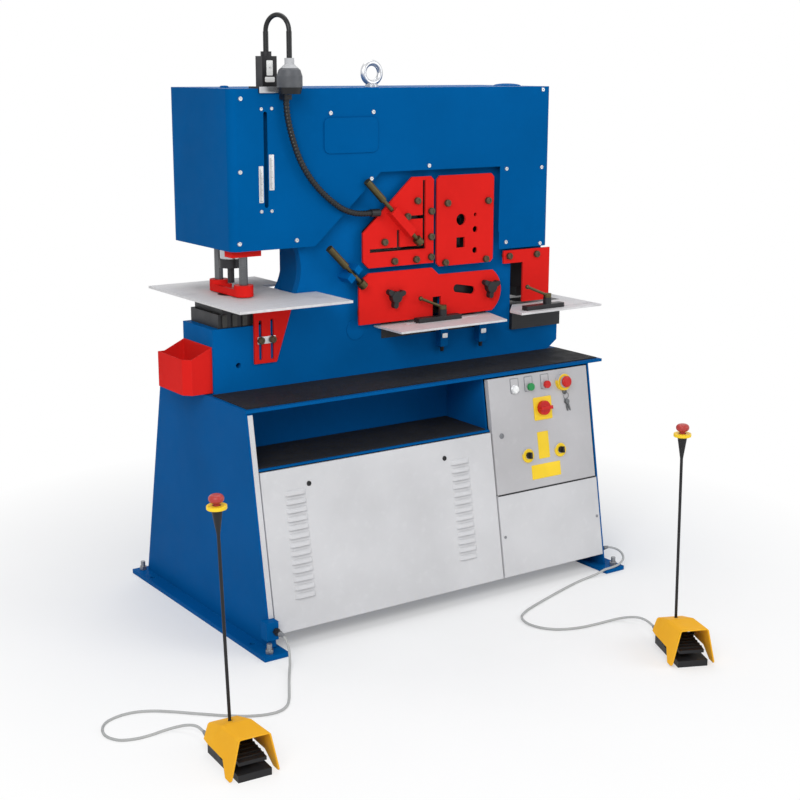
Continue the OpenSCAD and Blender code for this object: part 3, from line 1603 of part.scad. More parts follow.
module pedal_hood() {
  difference() {
    intersection() {
      hood_form(0);
      along(-pedal_w, 2 * pedal_w) polygon([[pedal_back + cut, housing_h], [pedal_back + cut, pedal_h + cut],
        [-pedal_back, pedal_h + cut], [-pedal_back, 2 * wing_z], [wing_z - pedal_back, wing_z],
        [wing_foot - pedal_back, wing_z], [hood_edge - pedal_back, housing_h]]);
    }
    hood_form(hood_t);
    translate([0, pole_y, 0]) cylinder(h = pedal_h, r = pole_r + pole_hole_gap);
  }
}

module pedal_hoods() color(signal_yellow) {
  for (i = [0, 1]) at_pedal(i) pedal_hood();
}

module pedal_base() {
  w = pedal_w - 2 * base_inset;
  treadle_w = w - 2 * cheek_t - 2 * treadle_gap;
  box([-w / 2, base_front - pedal_back, 0], [w / 2, pedal_back, pedal_base_h]);
  box([-w / 2, pedal_back - housing_d, 0], [w / 2, pedal_back, housing_h]);
  for (s = [-1, 1]) translate([s * (w / 2 - cheek_t / 2), treadle_pin_y, 0])
    box([-cheek_t / 2, -treadle_eye_r, 0], [cheek_t / 2, treadle_eye_r, treadle_pin_z + treadle_eye_r]);
  translate([-w / 2, treadle_pin_y, treadle_pin_z]) rotate([0, 90, 0]) cylinder(h = w, r = treadle_pin_r);
}

module pole() {
  collar_bottom = collar_z - collar_t / 2;
  translate([0, 0, housing_h]) cylinder(h = collar_bottom - housing_h, r = pole_r);
  translate([0, 0, collar_bottom - neck_cone_l]) cylinder(h = neck_cone_l, r1 = pole_r, r2 = neck_cone_r);
  difference() {
    translate([0, 0, collar_bottom]) cylinder(h = collar_t, r = collar_r);
    translate([0, 0, collar_bottom + cut]) cylinder(h = collar_t, r = pole_button_stem_r + fit);
  }
}

module pedal_bases() color(black) {
  for (i = [0, 1]) {
    at_pedal(i) pedal_base();
    at_pole(i) pole();
  }
}

module treadle(i) {
  w = pedal_w - 2 * base_inset - 2 * cheek_t - 2 * treadle_gap;
  rib_step = [0, -treadle_pin_y - treadle_front, treadle_rise] / (rib_count + 1);
  at_pedal(i) difference() {
    union() {
      translate([-w / 2, treadle_pin_y, treadle_pin_z]) rotate([0, 90, 0]) cylinder(h = w, r = treadle_eye_r);
      along(-w / 2, w) polygon([[treadle_pin_y, treadle_pin_z - treadle_t / 2],
        [treadle_pin_y, treadle_pin_z + treadle_t / 2],
        [-treadle_front, treadle_pin_z + treadle_t / 2 + treadle_rise],
        [-treadle_front, treadle_pin_z - treadle_t / 2 + treadle_rise]]);
      for (k = [1 : rib_count]) translate([0, treadle_pin_y, treadle_pin_z] + k * rib_step)
        box([-w / 2, -rib_w / 2, 0], [w / 2, rib_w / 2, treadle_t / 2 + rib_h]);
    }
    translate([-w / 2 - cut, treadle_pin_y, treadle_pin_z]) rotate([0, 90, 0])
      cylinder(h = w + 2 * cut, r = treadle_pin_r + fit);
  }
}

module left_treadle() color(black) treadle(0);

module right_treadle() color(black) treadle(1);

module pole_button(i) {
  at_pole(i) translate([0, 0, collar_z + collar_t / 2 + pole_button_gap]) {
    mushroom(mushroom_r, pole_button_h);
    translate([0, 0, -pole_button_gap - pole_button_in])
      cylinder(h = pole_button_in + pole_button_gap + pole_button_h / 2, r = pole_button_stem_r);
  }
}

module left_pole_button() color(guard_red) pole_button(0);

module right_pole_button() color(guard_red) pole_button(1);

// A gland along local Y, with its outer face at the origin
module gland(l) {
  rotate([-90, 0, 0]) cylinder(h = l, r = gland_r);
  translate([0, l - gland_foot_l, 0]) rotate([-90, 0, 0])
    cylinder(h = gland_foot_l, r = gland_foot_r, $fn = 6);
}

module cable_glands() color("#8a8c8f") {
  left = left_route[0];
  right = right_route[0];
  upper = conduit_route[0];
  lower = conduit_route[len(conduit_route) - 1];
  translate(left) gland(front_y(junction_z) - junction_d - left[1]);
  translate(right) rotate(90) gland(right[0] - panel_out);
  for (i = [0, 1]) at_pedal(i) translate([-entry_x, pedal_back + gland_l, entry_z]) rotate(180) gland(gland_l);
  box([upper[0] - elbow_w / 2, upper[1] - elbow_w / 2, upper[2]],
    [upper[0] + elbow_w / 2, cover_front_y, upper[2] + elbow_h]);
  translate(lower) rotate([0, 90, 0]) cylinder(h = conduit_gland_l, r = conduit_gland_r);
  box([lower[0] + conduit_gland_l / 2, lower[1], lower[2] - conduit_gland_r / 2],
    [lower[0] + conduit_gland_l, frame_front_y, lower[2] + conduit_gland_r / 2]);
}

base_cabinet();
levelling_screws();
work_tray();
rubber_mats();
lower_cover();
power_pack();
louvred_panel();
control_door();
start_button();
stop_button();
door_stop_button();
main_switch();
selector_left();
selector_right();
main_frame();
upper_cover();
eye_bolt();
lamp_base();
lamp_neck();
lamp_head();
flexible_conduit();
cylinders();
punch_rod();
punch_tool();
stripper();
stripper_posts();
punch_yoke();
die_bolsters();
punch_table();
table_bracket();
slug_bin();
shear_rod();
shear_beam();
pivot_pin();
moving_blades();
fixed_blades();
angle_guard();
section_guard();
flat_guard();
notch_guard();
guard_bolts();
wing_knob_left();
wing_knob_right();
holddown_upper();
holddown_lower();
flat_table();
flat_stop();
flat_lever();
notch_table();
notch_stop();
notch_lever();
pedal_hoods();
pedal_bases();
left_treadle();
right_treadle();
left_pole_button();
right_pole_button();
left_cord();
right_cord();
cable_glands();
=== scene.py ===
"""Looks of a hydraulic ironworker: its paints and metals, its cords, and the small fittings on its covers."""
import math

import bmesh
import bpy
from mathutils import Matrix, Vector


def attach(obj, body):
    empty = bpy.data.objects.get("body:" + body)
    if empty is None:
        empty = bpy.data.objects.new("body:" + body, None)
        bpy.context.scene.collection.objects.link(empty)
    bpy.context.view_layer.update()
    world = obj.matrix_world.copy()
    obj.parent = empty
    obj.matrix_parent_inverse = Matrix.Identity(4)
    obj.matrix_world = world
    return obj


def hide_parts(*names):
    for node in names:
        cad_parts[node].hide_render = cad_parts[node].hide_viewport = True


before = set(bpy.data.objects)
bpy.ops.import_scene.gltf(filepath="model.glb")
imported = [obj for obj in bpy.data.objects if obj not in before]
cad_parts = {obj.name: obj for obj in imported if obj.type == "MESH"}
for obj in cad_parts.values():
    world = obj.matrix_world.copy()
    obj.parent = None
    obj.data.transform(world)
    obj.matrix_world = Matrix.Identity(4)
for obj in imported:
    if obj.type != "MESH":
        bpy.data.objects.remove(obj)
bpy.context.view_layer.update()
scene = bpy.context.scene
scene.view_settings.view_transform = "Standard"

MM = 0.001
# The cabinet narrows as it rises from its feet: its front leans back and its rear leans forward
FOOT_TOP = 15
CABINET_RISE = 721
FRONT_FOOT = -430
FRONT_RUN = 126
REAR_FOOT = 448
REAR_RUN = 158
FRONT_LEAN = math.atan2(FRONT_RUN, CABINET_RISE)
REAR_LEAN = math.atan2(REAR_RUN, CABINET_RISE)
SLOPE_S = math.sin(FRONT_LEAN)
SLOPE_C = math.cos(FRONT_LEAN)
# Faces of the upper cover, and how far the louvred panel, the door and the lower cover stand out
COVER_FRONT = -92
COVER_REAR = 328
COVER_TOP = 1700
PANEL_FACE = 3


def at(x, y, z):
    """Point given in millimetres."""
    return Vector((x, y, z)) * MM


def axes(origin, right, up, out):
    """Frame at a point given in millimetres, with its three directions."""
    place = Matrix((right, up, out)).transposed().to_4x4()
    place.translation = Vector(origin) * MM
    return place


def on_slope(u, z, w=PANEL_FACE):
    """Frame on the leaning front, at x = u and a height z, facing out."""
    v = (z - FOOT_TOP - w * SLOPE_S) / SLOPE_C
    origin = (u, FRONT_FOOT + v * SLOPE_S - w * SLOPE_C, z)
    return axes(origin, (1, 0, 0), (0, SLOPE_S, SLOPE_C), (0, -SLOPE_C, SLOPE_S))


def on_front(x, y, z):
    """Frame on an upright face that looks to the front."""
    return axes((x, y, z), (1, 0, 0), (0, 0, 1), (0, -1, 0))


def on_back(x, y, z):
    """Frame on an upright face that looks to the rear."""
    return axes((x, y, z), (-1, 0, 0), (0, 0, 1), (0, 1, 0))


def on_rear_slope(x, z):
    """Frame on the cabinet's leaning rear sheet, at a height z."""
    s, c = math.sin(REAR_LEAN), math.cos(REAR_LEAN)
    origin = (x, REAR_FOOT - (z - FOOT_TOP) * math.tan(REAR_LEAN), z)
    return axes(origin, (-1, 0, 0), (0, -s, c), (0, c, s))


def on_top(x, y, z):
    """Frame on a level face that looks up."""
    return axes((x, y, z), (1, 0, 0), (0, 1, 0), (0, 0, 1))


# Camera

CAMERA_PLACE = (-2724, -4067.4, 1771.4)
CAMERA_ANGLES = (34.582, 13.056, 0.153)


def set_camera():
    """The photograph's viewing angle: yaw, pitch and roll in degrees."""
    lens = bpy.data.cameras.new("front_left_camera")
    lens.lens = 64.73
    lens.sensor_width = 36
    lens.shift_x = 0.00225
    lens.shift_y = -0.0016
    lens.clip_start = 0.05
    lens.clip_end = 80
    camera = bpy.data.objects.new("front_left_camera", lens)
    scene.collection.objects.link(camera)
    yaw, pitch, roll = (math.radians(a) for a in CAMERA_ANGLES)
    ahead = Vector((math.sin(yaw) * math.cos(pitch), math.cos(yaw) * math.cos(pitch), -math.sin(pitch)))
    turn = ahead.to_track_quat("-Z", "Y").to_matrix().to_4x4() @ Matrix.Rotation(roll, 4, "Z")
    camera.matrix_world = Matrix.Translation(at(*CAMERA_PLACE)) @ turn
    scene.camera = camera


set_camera()


# Finishes

def srgb(r, g, b):
    """Linear colour of an sRGB triple from 0 to 255."""
    def channel(c):
        c /= 255
        return c / 12.92 if c <= 0.04045 else ((c + 0.055) / 1.055) ** 2.4
    return (channel(r), channel(g), channel(b), 1)


def shade(colour, share):
    """The colour made lighter or darker."""
    return tuple(min(1, c * share) for c in colour[:3]) + (1,)


class Finish:
    """A procedural material on Object coordinates, built step by step."""

    def __init__(self, name):
        self.material = bpy.data.materials.new(name)
        self.material.use_nodes = True
        self.tree = self.material.node_tree
        self.shader = self.tree.nodes["Principled BSDF"]
        self.place = self.add("ShaderNodeTexCoord").outputs["Object"]
        self.normal = None

    def add(self, kind, **settings):
        node = self.tree.nodes.new(kind)
        for key, value in settings.items():
            setattr(node, key, value)
        return node

    def join(self, source, target):
        self.tree.links.new(source, target)

    def stretched(self, x, y, z):
        node = self.add("ShaderNodeMapping")
        node.inputs["Scale"].default_value = (x, y, z)
        self.join(self.place, node.inputs["Vector"])
        return node.outputs["Vector"]

    def noise(self, scale, detail=3.0, place=None):
        node = self.add("ShaderNodeTexNoise")
        node.inputs["Scale"].default_value = scale
        node.inputs["Detail"].default_value = detail
        self.join(place or self.place, node.inputs["Vector"])
        return node.outputs["Fac"]

    def spread(self, value, low, high, start=0.0, end=1.0):
        node = self.add("ShaderNodeMapRange")
        for label, number in (("From Min", low), ("From Max", high), ("To Min", start), ("To Max", end)):
            node.inputs[label].default_value = number
        self.join(value, node.inputs["Value"])
        return node.outputs["Result"]

    def product(self, a, b):
        node = self.add("ShaderNodeMath", operation="MULTIPLY")
        self.join(a, node.inputs[0])
        self.join(b, node.inputs[1])
        return node.outputs[0]

    def blend(self, share, first, second):
        """Colour between two colours, each a tuple or an output."""
        node = self.add("ShaderNodeMix", data_type="RGBA")
        self.join(share, node.inputs["Factor"])
        for label, colour in ((6, first), (7, second)):
            if isinstance(colour, tuple):
                node.inputs[label].default_value = colour
            else:
                self.join(colour, node.inputs[label])
        return node.outputs[2]

    def height(self, value, distance, strength=1.0):
        node = self.add("ShaderNodeBump")
        node.inputs["Distance"].default_value = distance
        node.inputs["Strength"].default_value = strength
        self.join(value, node.inputs["Height"])
        if self.normal:
            self.join(self.normal, node.inputs["Normal"])
        self.normal = node.outputs["Normal"]

    def round_edges(self, radius):
        node = self.add("ShaderNodeBevel", samples=6)
        node.inputs["Radius"].default_value = radius
        self.normal = node.outputs["Normal"]
        return node.outputs["Normal"]

    def edge_mask(self, rounded, patchiness):
        """1 along the edges, broken up by noise."""
        facing = self.add("ShaderNodeVectorMath", operation="DOT_PRODUCT")
        self.join(rounded, facing.inputs[0])
        self.join(self.add("ShaderNodeNewGeometry").outputs["Normal"], facing.inputs[1])
        rim = self.spread(facing.outputs["Value"], 0.99, 0.84)
        return self.product(rim, self.spread(self.noise(patchiness, 4), 0.44, 0.62))

    def done(self, colour, roughness, metallic=0.0, coat=0.0, shine=0.3):
        if isinstance(colour, tuple):
            self.shader.inputs["Base Color"].default_value = colour
        else:
            self.join(colour, self.shader.inputs["Base Color"])
        self.join(roughness, self.shader.inputs["Roughness"])
        self.shader.inputs["Metallic"].default_value = metallic
        self.shader.inputs["Coat Weight"].default_value = coat
        self.shader.inputs["Coat Roughness"].default_value = 0.12
        self.shader.inputs["Specular IOR Level"].default_value = shine
        if self.normal:
            self.join(self.normal, self.shader.inputs["Normal"])
        return self.material


def paint(name, colour, gloss=0.36, peel=0.00005, edge_wear_and_highlight=0.5, edge=None):
    """Sprayed paint: a faint orange peel, clouded tone, a dusty film, and edges made lighter in patches by
    rub wear and a painted highlight.
    """
    f = Finish(name)
    rounded = f.round_edges(0.0016)
    tone = f.blend(f.spread(f.noise(3.2, 5), 0.32, 0.68), shade(colour, 0.92), shade(colour, 1.07))
    dust = f.spread(f.noise(38, 6), 0.55, 0.8, 0, 0.10)
    tone = f.blend(dust, tone, shade(colour, 1.5))
    # Lighter patches along the edges: rub wear together with a painted highlight on the rounded edges.
    rim = f.product(f.edge_mask(rounded, 55), f.spread(f.noise(9, 2), 0.3, 0.7, 0, edge_wear_and_highlight))
    tone = f.blend(rim, tone, edge or shade(colour, 1.9))
    f.height(f.noise(520, 2), peel)
    return f.done(tone, f.spread(f.noise(21, 4), 0.25, 0.75, gloss - 0.07, gloss + 0.1), shine=0.01)


def metal(name, colour, rough, grain=(1, 1, 40), body=0.85):
    """Machined steel: cutter marks along one way, oil stain, and bright edges."""
    f = Finish(name)
    rounded = f.round_edges(0.001)
    lay = f.noise(34, 4, f.stretched(*grain))
    tone = f.blend(f.spread(lay, 0.3, 0.7), shade(colour, 0.86), shade(colour, 1.1))
    stain = f.spread(f.noise(11, 5), 0.54, 0.72, 0, 0.35)
    tone = f.blend(stain, tone, shade(colour, 0.62))
    rim = f.product(f.edge_mask(rounded, 60), f.spread(f.noise(14, 2), 0.3, 0.7, 0.2, 0.35))
    tone = f.blend(rim, tone, shade(colour, 1.5))
    f.height(lay, 0.00002)
    return f.done(tone, f.spread(f.noise(17, 5), 0.25, 0.75, rough - 0.08, rough + 0.12), metallic=body)


def plastic(name, colour, gloss=0.4, texture=0.00004, size=900):
    """Moulded plastic with a fine spark texture and scuffed corners."""
    f = Finish(name)
    rounded = f.round_edges(0.0009)
    tone = f.blend(f.spread(f.noise(7, 4), 0.3, 0.7), shade(colour, 0.9), shade(colour, 1.08))
    rim = f.product(f.edge_mask(rounded, 80), f.spread(f.noise(20, 2), 0.35, 0.7, 0, 0.3))
    tone = f.blend(rim, tone, shade(colour, 1.8))
    f.height(f.noise(size, 2), texture)
    return f.done(tone, f.spread(f.noise(30, 4), 0.25, 0.75, gloss - 0.08, gloss + 0.1))


def ribbed_rubber(name, colour, pitch):
    """Sheet rubber with fine ribs, painted darker in the grooves and lighter on the crests as shade and
    highlight, and dulled by dust and swarf.
    """
    f = Finish(name)
    wave = f.add("ShaderNodeTexWave", wave_type="BANDS", bands_direction="X")
    wave.inputs["Scale"].default_value = math.pi / 10 / pitch
    f.join(f.place, wave.inputs["Vector"])
    ribs = wave.outputs["Fac"]
    # Painted shade in the grooves between the ribs and a painted highlight on their crests.
    tone = f.blend(f.spread(ribs, 0.1, 0.9), shade(colour, 0.72), shade(colour, 1.12))
    tone = f.blend(f.spread(f.noise(14, 6), 0.5, 0.75, 0, 0.3), tone, shade(colour, 1.7))
    f.height(ribs, 0.0007, 0.6)
    f.height(f.noise(600, 3), 0.00006)
    return f.done(tone, f.spread(f.noise(24, 4), 0.3, 0.7, 0.62, 0.85))


# Bands of the lamp's bell: top of its rim and foot of its cap, and how softly they change
BELL_RIM_TOP = 1.704
BELL_CAP_FOOT = 1.762
BELL_BLEND = 0.0005


def banded_lamp(name):
    """The lamp's bell: pale cap, dark grey body and black rim, in bands of height."""
    f = Finish(name)
    f.round_edges(0.001)
    split = f.add("ShaderNodeSeparateXYZ")
    f.join(f.place, split.inputs["Vector"])
    level = split.outputs["Z"]
    grey = f.blend(f.spread(f.noise(18, 4), 0.3, 0.7), srgb(70, 72, 76), srgb(92, 94, 98))
    above_rim = f.spread(level, BELL_RIM_TOP - BELL_BLEND, BELL_RIM_TOP + BELL_BLEND)
    above_body = f.spread(level, BELL_CAP_FOOT - BELL_BLEND, BELL_CAP_FOOT + BELL_BLEND)
    tone = f.blend(above_rim, srgb(22, 22, 24), grey)
    tone = f.blend(above_body, tone, srgb(186, 187, 189))
    f.height(f.noise(700, 2), 0.00004)
    return f.done(tone, f.spread(f.noise(40, 3), 0.3, 0.7, 0.34, 0.5))


def milky_glass(name):
    """Pale glass that lets some light in under its surface."""
    f = Finish(name)
    tone = f.blend(f.spread(f.noise(25, 3), 0.3, 0.7), srgb(226, 228, 230), srgb(250, 250, 248))
    f.shader.inputs["Subsurface Weight"].default_value = 0.25
    f.shader.inputs["Subsurface Radius"].default_value = (0.004, 0.004, 0.004)
    f.height(f.noise(400, 2), 0.00003)
    return f.done(tone, f.spread(f.noise(50, 3), 0.3, 0.7, 0.12, 0.24), coat=0.4)


COVER_BLUE = srgb(0, 87, 150)
# The frame wears the cover's blue; it is set lighter here as painted light that lifts the shade the frame
# gets under the cover.
LIFTED_FRAME_BLUE = srgb(3, 96, 164)
CABINET_BLUE = srgb(4, 86, 150)
PANEL_GREY = srgb(208, 208, 210)
# The door's grey is the panels' grey made darker: painted shade, as under the tray's overhang.
SHADED_DOOR_GREY = srgb(189, 188, 190)
GUARD_RED = srgb(224, 38, 34)

cover_paint = paint("cover_paint", COVER_BLUE)
# Frame paint in the lifted blue: painted light over the frame's shade.
frame_paint = paint("frame_paint", LIFTED_FRAME_BLUE, gloss=0.42, peel=0.0001)
cabinet_paint = paint("cabinet_paint", CABINET_BLUE)
panel_paint = paint("panel_paint", PANEL_GREY, gloss=0.44, edge_wear_and_highlight=0.25, edge=srgb(235, 235, 236))
# Door paint in the darker grey: painted shade.
door_paint = paint("door_paint", SHADED_DOOR_GREY, gloss=0.44, edge_wear_and_highlight=0.25, edge=srgb(226, 226, 227))
guard_paint = paint("guard_paint", GUARD_RED, gloss=0.34, edge=srgb(240, 120, 110))
yellow_paint = paint("yellow_paint", srgb(252, 184, 48), gloss=0.4, edge=srgb(252, 220, 140))
bright_steel = metal("bright_steel", srgb(188, 190, 193), rough=0.28)
dull_steel = metal("dull_steel", srgb(150, 152, 156), rough=0.4)
table_steel = metal("table_steel", srgb(215, 214, 215), rough=0.6, grain=(1, 40, 1), body=0.12)
tool_steel = metal("tool_steel", srgb(52, 52, 54), rough=0.42, body=0.5)
bolt_steel = metal("bolt_steel", srgb(86, 76, 60), rough=0.4, grain=(1, 1, 1), body=0.6)
post_steel = metal("post_steel", srgb(104, 106, 108), rough=0.3, body=0.8)
blade_steel = metal("blade_steel", srgb(46, 46, 48), rough=0.4, grain=(1, 40, 40), body=0.5)
clamp_steel = metal("clamp_steel", srgb(66, 66, 64), rough=0.44, grain=(1, 1, 1), body=0.4)
brass_handle = metal("brass_handle", srgb(90, 82, 56), rough=0.46, grain=(1, 1, 1))
zinc_steel = metal("zinc_steel", srgb(205, 206, 208), rough=0.3, grain=(1, 1, 1))
mat_rubber = ribbed_rubber("mat_rubber", srgb(25, 25, 27), 0.006)
black_plastic = plastic("black_plastic", srgb(34, 34, 36))
pedal_plastic = plastic("pedal_plastic", srgb(30, 30, 32), gloss=0.5, texture=0.00012, size=420)
red_plastic = plastic("red_plastic", srgb(200, 28, 26), gloss=0.28)
faded_red_plastic = plastic("faded_red_plastic", srgb(176, 62, 58), gloss=0.36)
green_plastic = plastic("green_plastic", srgb(32, 142, 74), gloss=0.28)
yellow_plastic = plastic("yellow_plastic", srgb(244, 206, 40), gloss=0.36)
grey_plastic = plastic("grey_plastic", srgb(128, 130, 134), gloss=0.42)
white_plastic = plastic("white_plastic", srgb(228, 228, 226), gloss=0.32)
cord_rubber = plastic("cord_rubber", srgb(176, 177, 176), gloss=0.55, texture=0.00005, size=1400)
conduit_rubber = plastic("conduit_rubber", srgb(30, 31, 32), gloss=0.3)
lamp_bands = banded_lamp("lamp_bands")
bulb_glass = milky_glass("bulb_glass")

node_finishes = (
    (cabinet_paint, "base_cabinet work_tray"),
    (dull_steel, "levelling_screws power_pack cylinders pivot_pin"),
    (mat_rubber, "rubber_mats"),
    (panel_paint, "lower_cover louvred_panel"),
    (frame_paint, "main_frame"),
    (cover_paint, "upper_cover"),
    (zinc_steel, "eye_bolt"),
    (black_plastic, "lamp_base cable_glands selector_left selector_right wing_knob_left wing_knob_right"),
    (conduit_rubber, "lamp_neck"),
    (lamp_bands, "lamp_head"),
    (guard_paint, "angle_guard section_guard flat_guard notch_guard punch_yoke table_bracket stripper "
                  "slug_bin"),
    (tool_steel, "die_bolsters punch_tool shear_beam flat_stop notch_stop"),
    (table_steel, "punch_table flat_table notch_table"),
    (blade_steel, "fixed_blades moving_blades"),
    (bolt_steel, "guard_bolts"),
    (yellow_paint, "pedal_hoods"),
    (pedal_plastic, "pedal_bases left_treadle right_treadle"),
    (bright_steel, "punch_rod shear_rod"),
    (post_steel, "stripper_posts"),
    (door_paint, "control_door"),
    (green_plastic, "start_button"),
    (red_plastic, "stop_button door_stop_button main_switch"),
    (brass_handle, "holddown_upper holddown_lower flat_lever notch_lever"),
    (faded_red_plastic, "left_pole_button right_pole_button"),
)
for finish, nodes in node_finishes:
    for node in nodes.split():
        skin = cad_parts[node].data
        skin.materials.clear()
        skin.materials.append(finish)


# Shapes

EDGE_ANGLE = math.radians(34)


def settle(piece, body):
    """Lets a piece ride on a body."""
    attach(piece, body)
    return piece


def closed(name, bm, finish, body):
    """Turns a drawn shape into a piece that rides on a body."""
    bmesh.ops.remove_doubles(bm, verts=bm.verts, dist=1e-6)
    bmesh.ops.recalc_face_normals(bm, faces=bm.faces)
    mesh = bpy.data.meshes.new(name)
    bm.to_mesh(mesh)
    bm.free()
    mesh.polygons.foreach_set("use_smooth", [True] * len(mesh.polygons))
    mesh.set_sharp_from_angle(angle=EDGE_ANGLE)
    mesh.materials.append(finish)
    piece = bpy.data.objects.new(name, mesh)
    scene.collection.objects.link(piece)
    return settle(piece, body)


def turned(bm, profile, place, sides=36):
    """Revolves a profile of radius and height, in millimetres, about a frame's outward axis."""
    rings = []
    for radius, rise in profile:
        count = sides if radius else 1
        spokes = [2 * math.pi * k / count for k in range(count)]
        corners = (at(radius * math.cos(a), radius * math.sin(a), rise) for a in spokes)
        rings.append([bm.verts.new(place @ corner) for corner in corners])
    for low, high in zip(rings, rings[1:]):
        for k in range(sides):
            j = (k + 1) % sides
            corners = (low[k % len(low)], low[j % len(low)], high[j % len(high)], high[k % len(high)])
            bm.faces.new(list(dict.fromkeys(corners)))


def rounded_outline(width, height, radius, steps=6):
    """Corner points of a rectangle with round corners, about its middle."""
    points = []
    corners = ((1, 1, 0), (-1, 1, 90), (-1, -1, 180), (1, -1, 270))
    for sx, sy, start in corners:
        for k in range(steps + 1):
            a = math.radians(start + 90 * k / steps)
            points.append((sx * (width / 2 - radius) + radius * math.cos(a),
                           sy * (height / 2 - radius) + radius * math.sin(a)))
    return points


def slab(bm, outline, place, thick, edge=0.5, base=0.0):
    """A flat plate of an outline in millimetres, with its face edge rounded."""
    low = [bm.verts.new(place @ at(x, y, base)) for x, y in outline]
    high = [bm.verts.new(place @ at(x, y, base + thick)) for x, y in outline]
    bm.faces.new(low[::-1])
    face = bm.faces.new(high)
    for k in range(len(low)):
        j = (k + 1) % len(low)
        bm.faces.new((low[k], low[j], high[j], high[k]))
    bmesh.ops.bevel(bm, geom=list(face.edges), offset=edge * MM, segments=3, affect="EDGES", profile=0.6)


def hoop(bm, path, radius, sides):
    """A round wire along points in metres, closed in a loop."""
    count = len(path)
    rings = []
    side = None
    for k, point in enumerate(path):
        along = (path[(k + 1) % count] - path[k - 1]).normalized()
        if side is None:
            side = along.orthogonal().normalized()
        side = (side - along * side.dot(along)).normalized()
        other = along.cross(side)
        rings.append([bm.verts.new(point + radius * MM * (side * math.cos(a) + other * math.sin(a)))
                      for a in (2 * math.pi * j / sides for j in range(sides))])
    for low, high in zip(rings, rings[1:] + rings[:1]):
        for j in range(sides):
            n = (j + 1) % sides
            bm.faces.new((low[j], low[n], high[n], high[j]))


def eased(points, steps=8):
    """One smooth curve through points given in millimetres."""
    line = [at(*p) for p in points]
    ends = [2 * line[0] - line[1]] + line + [2 * line[-1] - line[-2]]
    curve = []
    for a, b, c, d in zip(ends, ends[1:], ends[2:], ends[3:]):
        before, here, after = (math.sqrt((q - p).length) for p, q in ((a, b), (b, c), (c, d)))
        start = here * ((b - a) / before - (c - a) / (before + here) + (c - b) / here)
        end = here * ((c - b) / here - (d - b) / (here + after) + (d - c) / after)
        for k in range(steps):
            t = k / steps
            curve.append(b + (c - b) * (3 * t ** 2 - 2 * t ** 3) + start * (t ** 3 - 2 * t ** 2 + t)
                         + end * (t ** 3 - t ** 2))
    return curve + [line[-1]]


# Repeated shapes

TICK_DEPTH = 0.4 * MM


class Maker:
    """A Geometry Nodes tree with named size inputs."""

    def __init__(self, name, sizes):
        self.tree = bpy.data.node_groups.new(name, "GeometryNodeTree")
        face = self.tree.interface
        face.new_socket("Geometry", in_out="INPUT", socket_type="NodeSocketGeometry")
        for label, kind in sizes:
            face.new_socket(label, in_out="INPUT", socket_type="NodeSocket" + kind)
        face.new_socket("Finish", in_out="INPUT", socket_type="NodeSocketMaterial")
        face.new_socket("Geometry", in_out="OUTPUT", socket_type="NodeSocketGeometry")
        self.given = self.add("NodeGroupInput").outputs
        self.result = self.add("NodeGroupOutput").inputs["Geometry"]

    def add(self, kind, **settings):
        node = self.tree.nodes.new(kind)
        for key, value in settings.items():
            setattr(node, key, value)
        return node

    def feed(self, node, **sources):
        """Sets or links a node's inputs; an input's name is written with underscores."""
        for label, source in sources.items():
            target = node.inputs[int(label[1:])] if label[0] == "_" else node.inputs[label.replace("_", " ")]
            if isinstance(source, bpy.types.NodeSocket):
                self.tree.links.new(source, target)
            else:
                target.default_value = source
        return node

    def sum(self, operation, a, b=0.0):
        """One step of arithmetic on one or two values."""
        return self.feed(self.add("ShaderNodeMath", operation=operation), _0=a, _1=b).outputs[0]

    def vector(self, x=0.0, y=0.0, z=0.0):
        return self.feed(self.add("ShaderNodeCombineXYZ"), X=x, Y=y, Z=z).outputs[0]

    def moved(self, shape, offset):
        return self.feed(self.add("GeometryNodeTransform"), Geometry=shape, Translation=offset).outputs[0]

    def scatter(self, shape, points):
        """Puts the shape on every point, facing along the point's own outward direction."""
        named = self.add("GeometryNodeInputNamedAttribute", data_type="FLOAT_VECTOR")
        outward = self.feed(named, Name="outward").outputs[0]
        turn = self.feed(self.add("FunctionNodeAlignRotationToVector", axis="Z"), Vector=outward).outputs[0]
        spread = self.add("GeometryNodeInstanceOnPoints")
        return self.feed(spread, Points=points, Instance=shape, Rotation=turn).outputs[0]

    def close(self, shape):
        """Ends the tree with the shape as one mesh in the given finish."""
        solid = self.feed(self.add("GeometryNodeRealizeInstances"), Geometry=shape).outputs[0]
        dressed = self.add("GeometryNodeSetMaterial")
        self.feed(dressed, Geometry=solid, Material=self.given["Finish"])
        self.tree.links.new(dressed.outputs[0], self.result)
        return self.tree


def socket_screw_maker():
    """A tapered screw head with a six-sided recess, on each point."""
    m = Maker("socket_screws", (("Head radius", "Float"), ("Head height", "Float"),
                                ("Recess radius", "Float")))
    points, radius, height, recess_radius = (m.given[k] for k in range(4))
    head = m.feed(m.add("GeometryNodeMeshCone"), Vertices=24, Radius_Top=m.sum("MULTIPLY", radius, 0.86),
                  Radius_Bottom=radius, Depth=height).outputs[0]
    recess = m.feed(m.add("GeometryNodeMeshCylinder"), Vertices=6, Radius=recess_radius,
                    Depth=height).outputs[0]
    recess = m.moved(recess, m.vector(z=m.sum("MULTIPLY", height, 0.7)))
    screw = m.add("GeometryNodeMeshBoolean", operation="DIFFERENCE")
    m.feed(screw, Mesh_1=head, Mesh_2=recess)
    return m.close(m.scatter(screw.outputs[0], points))


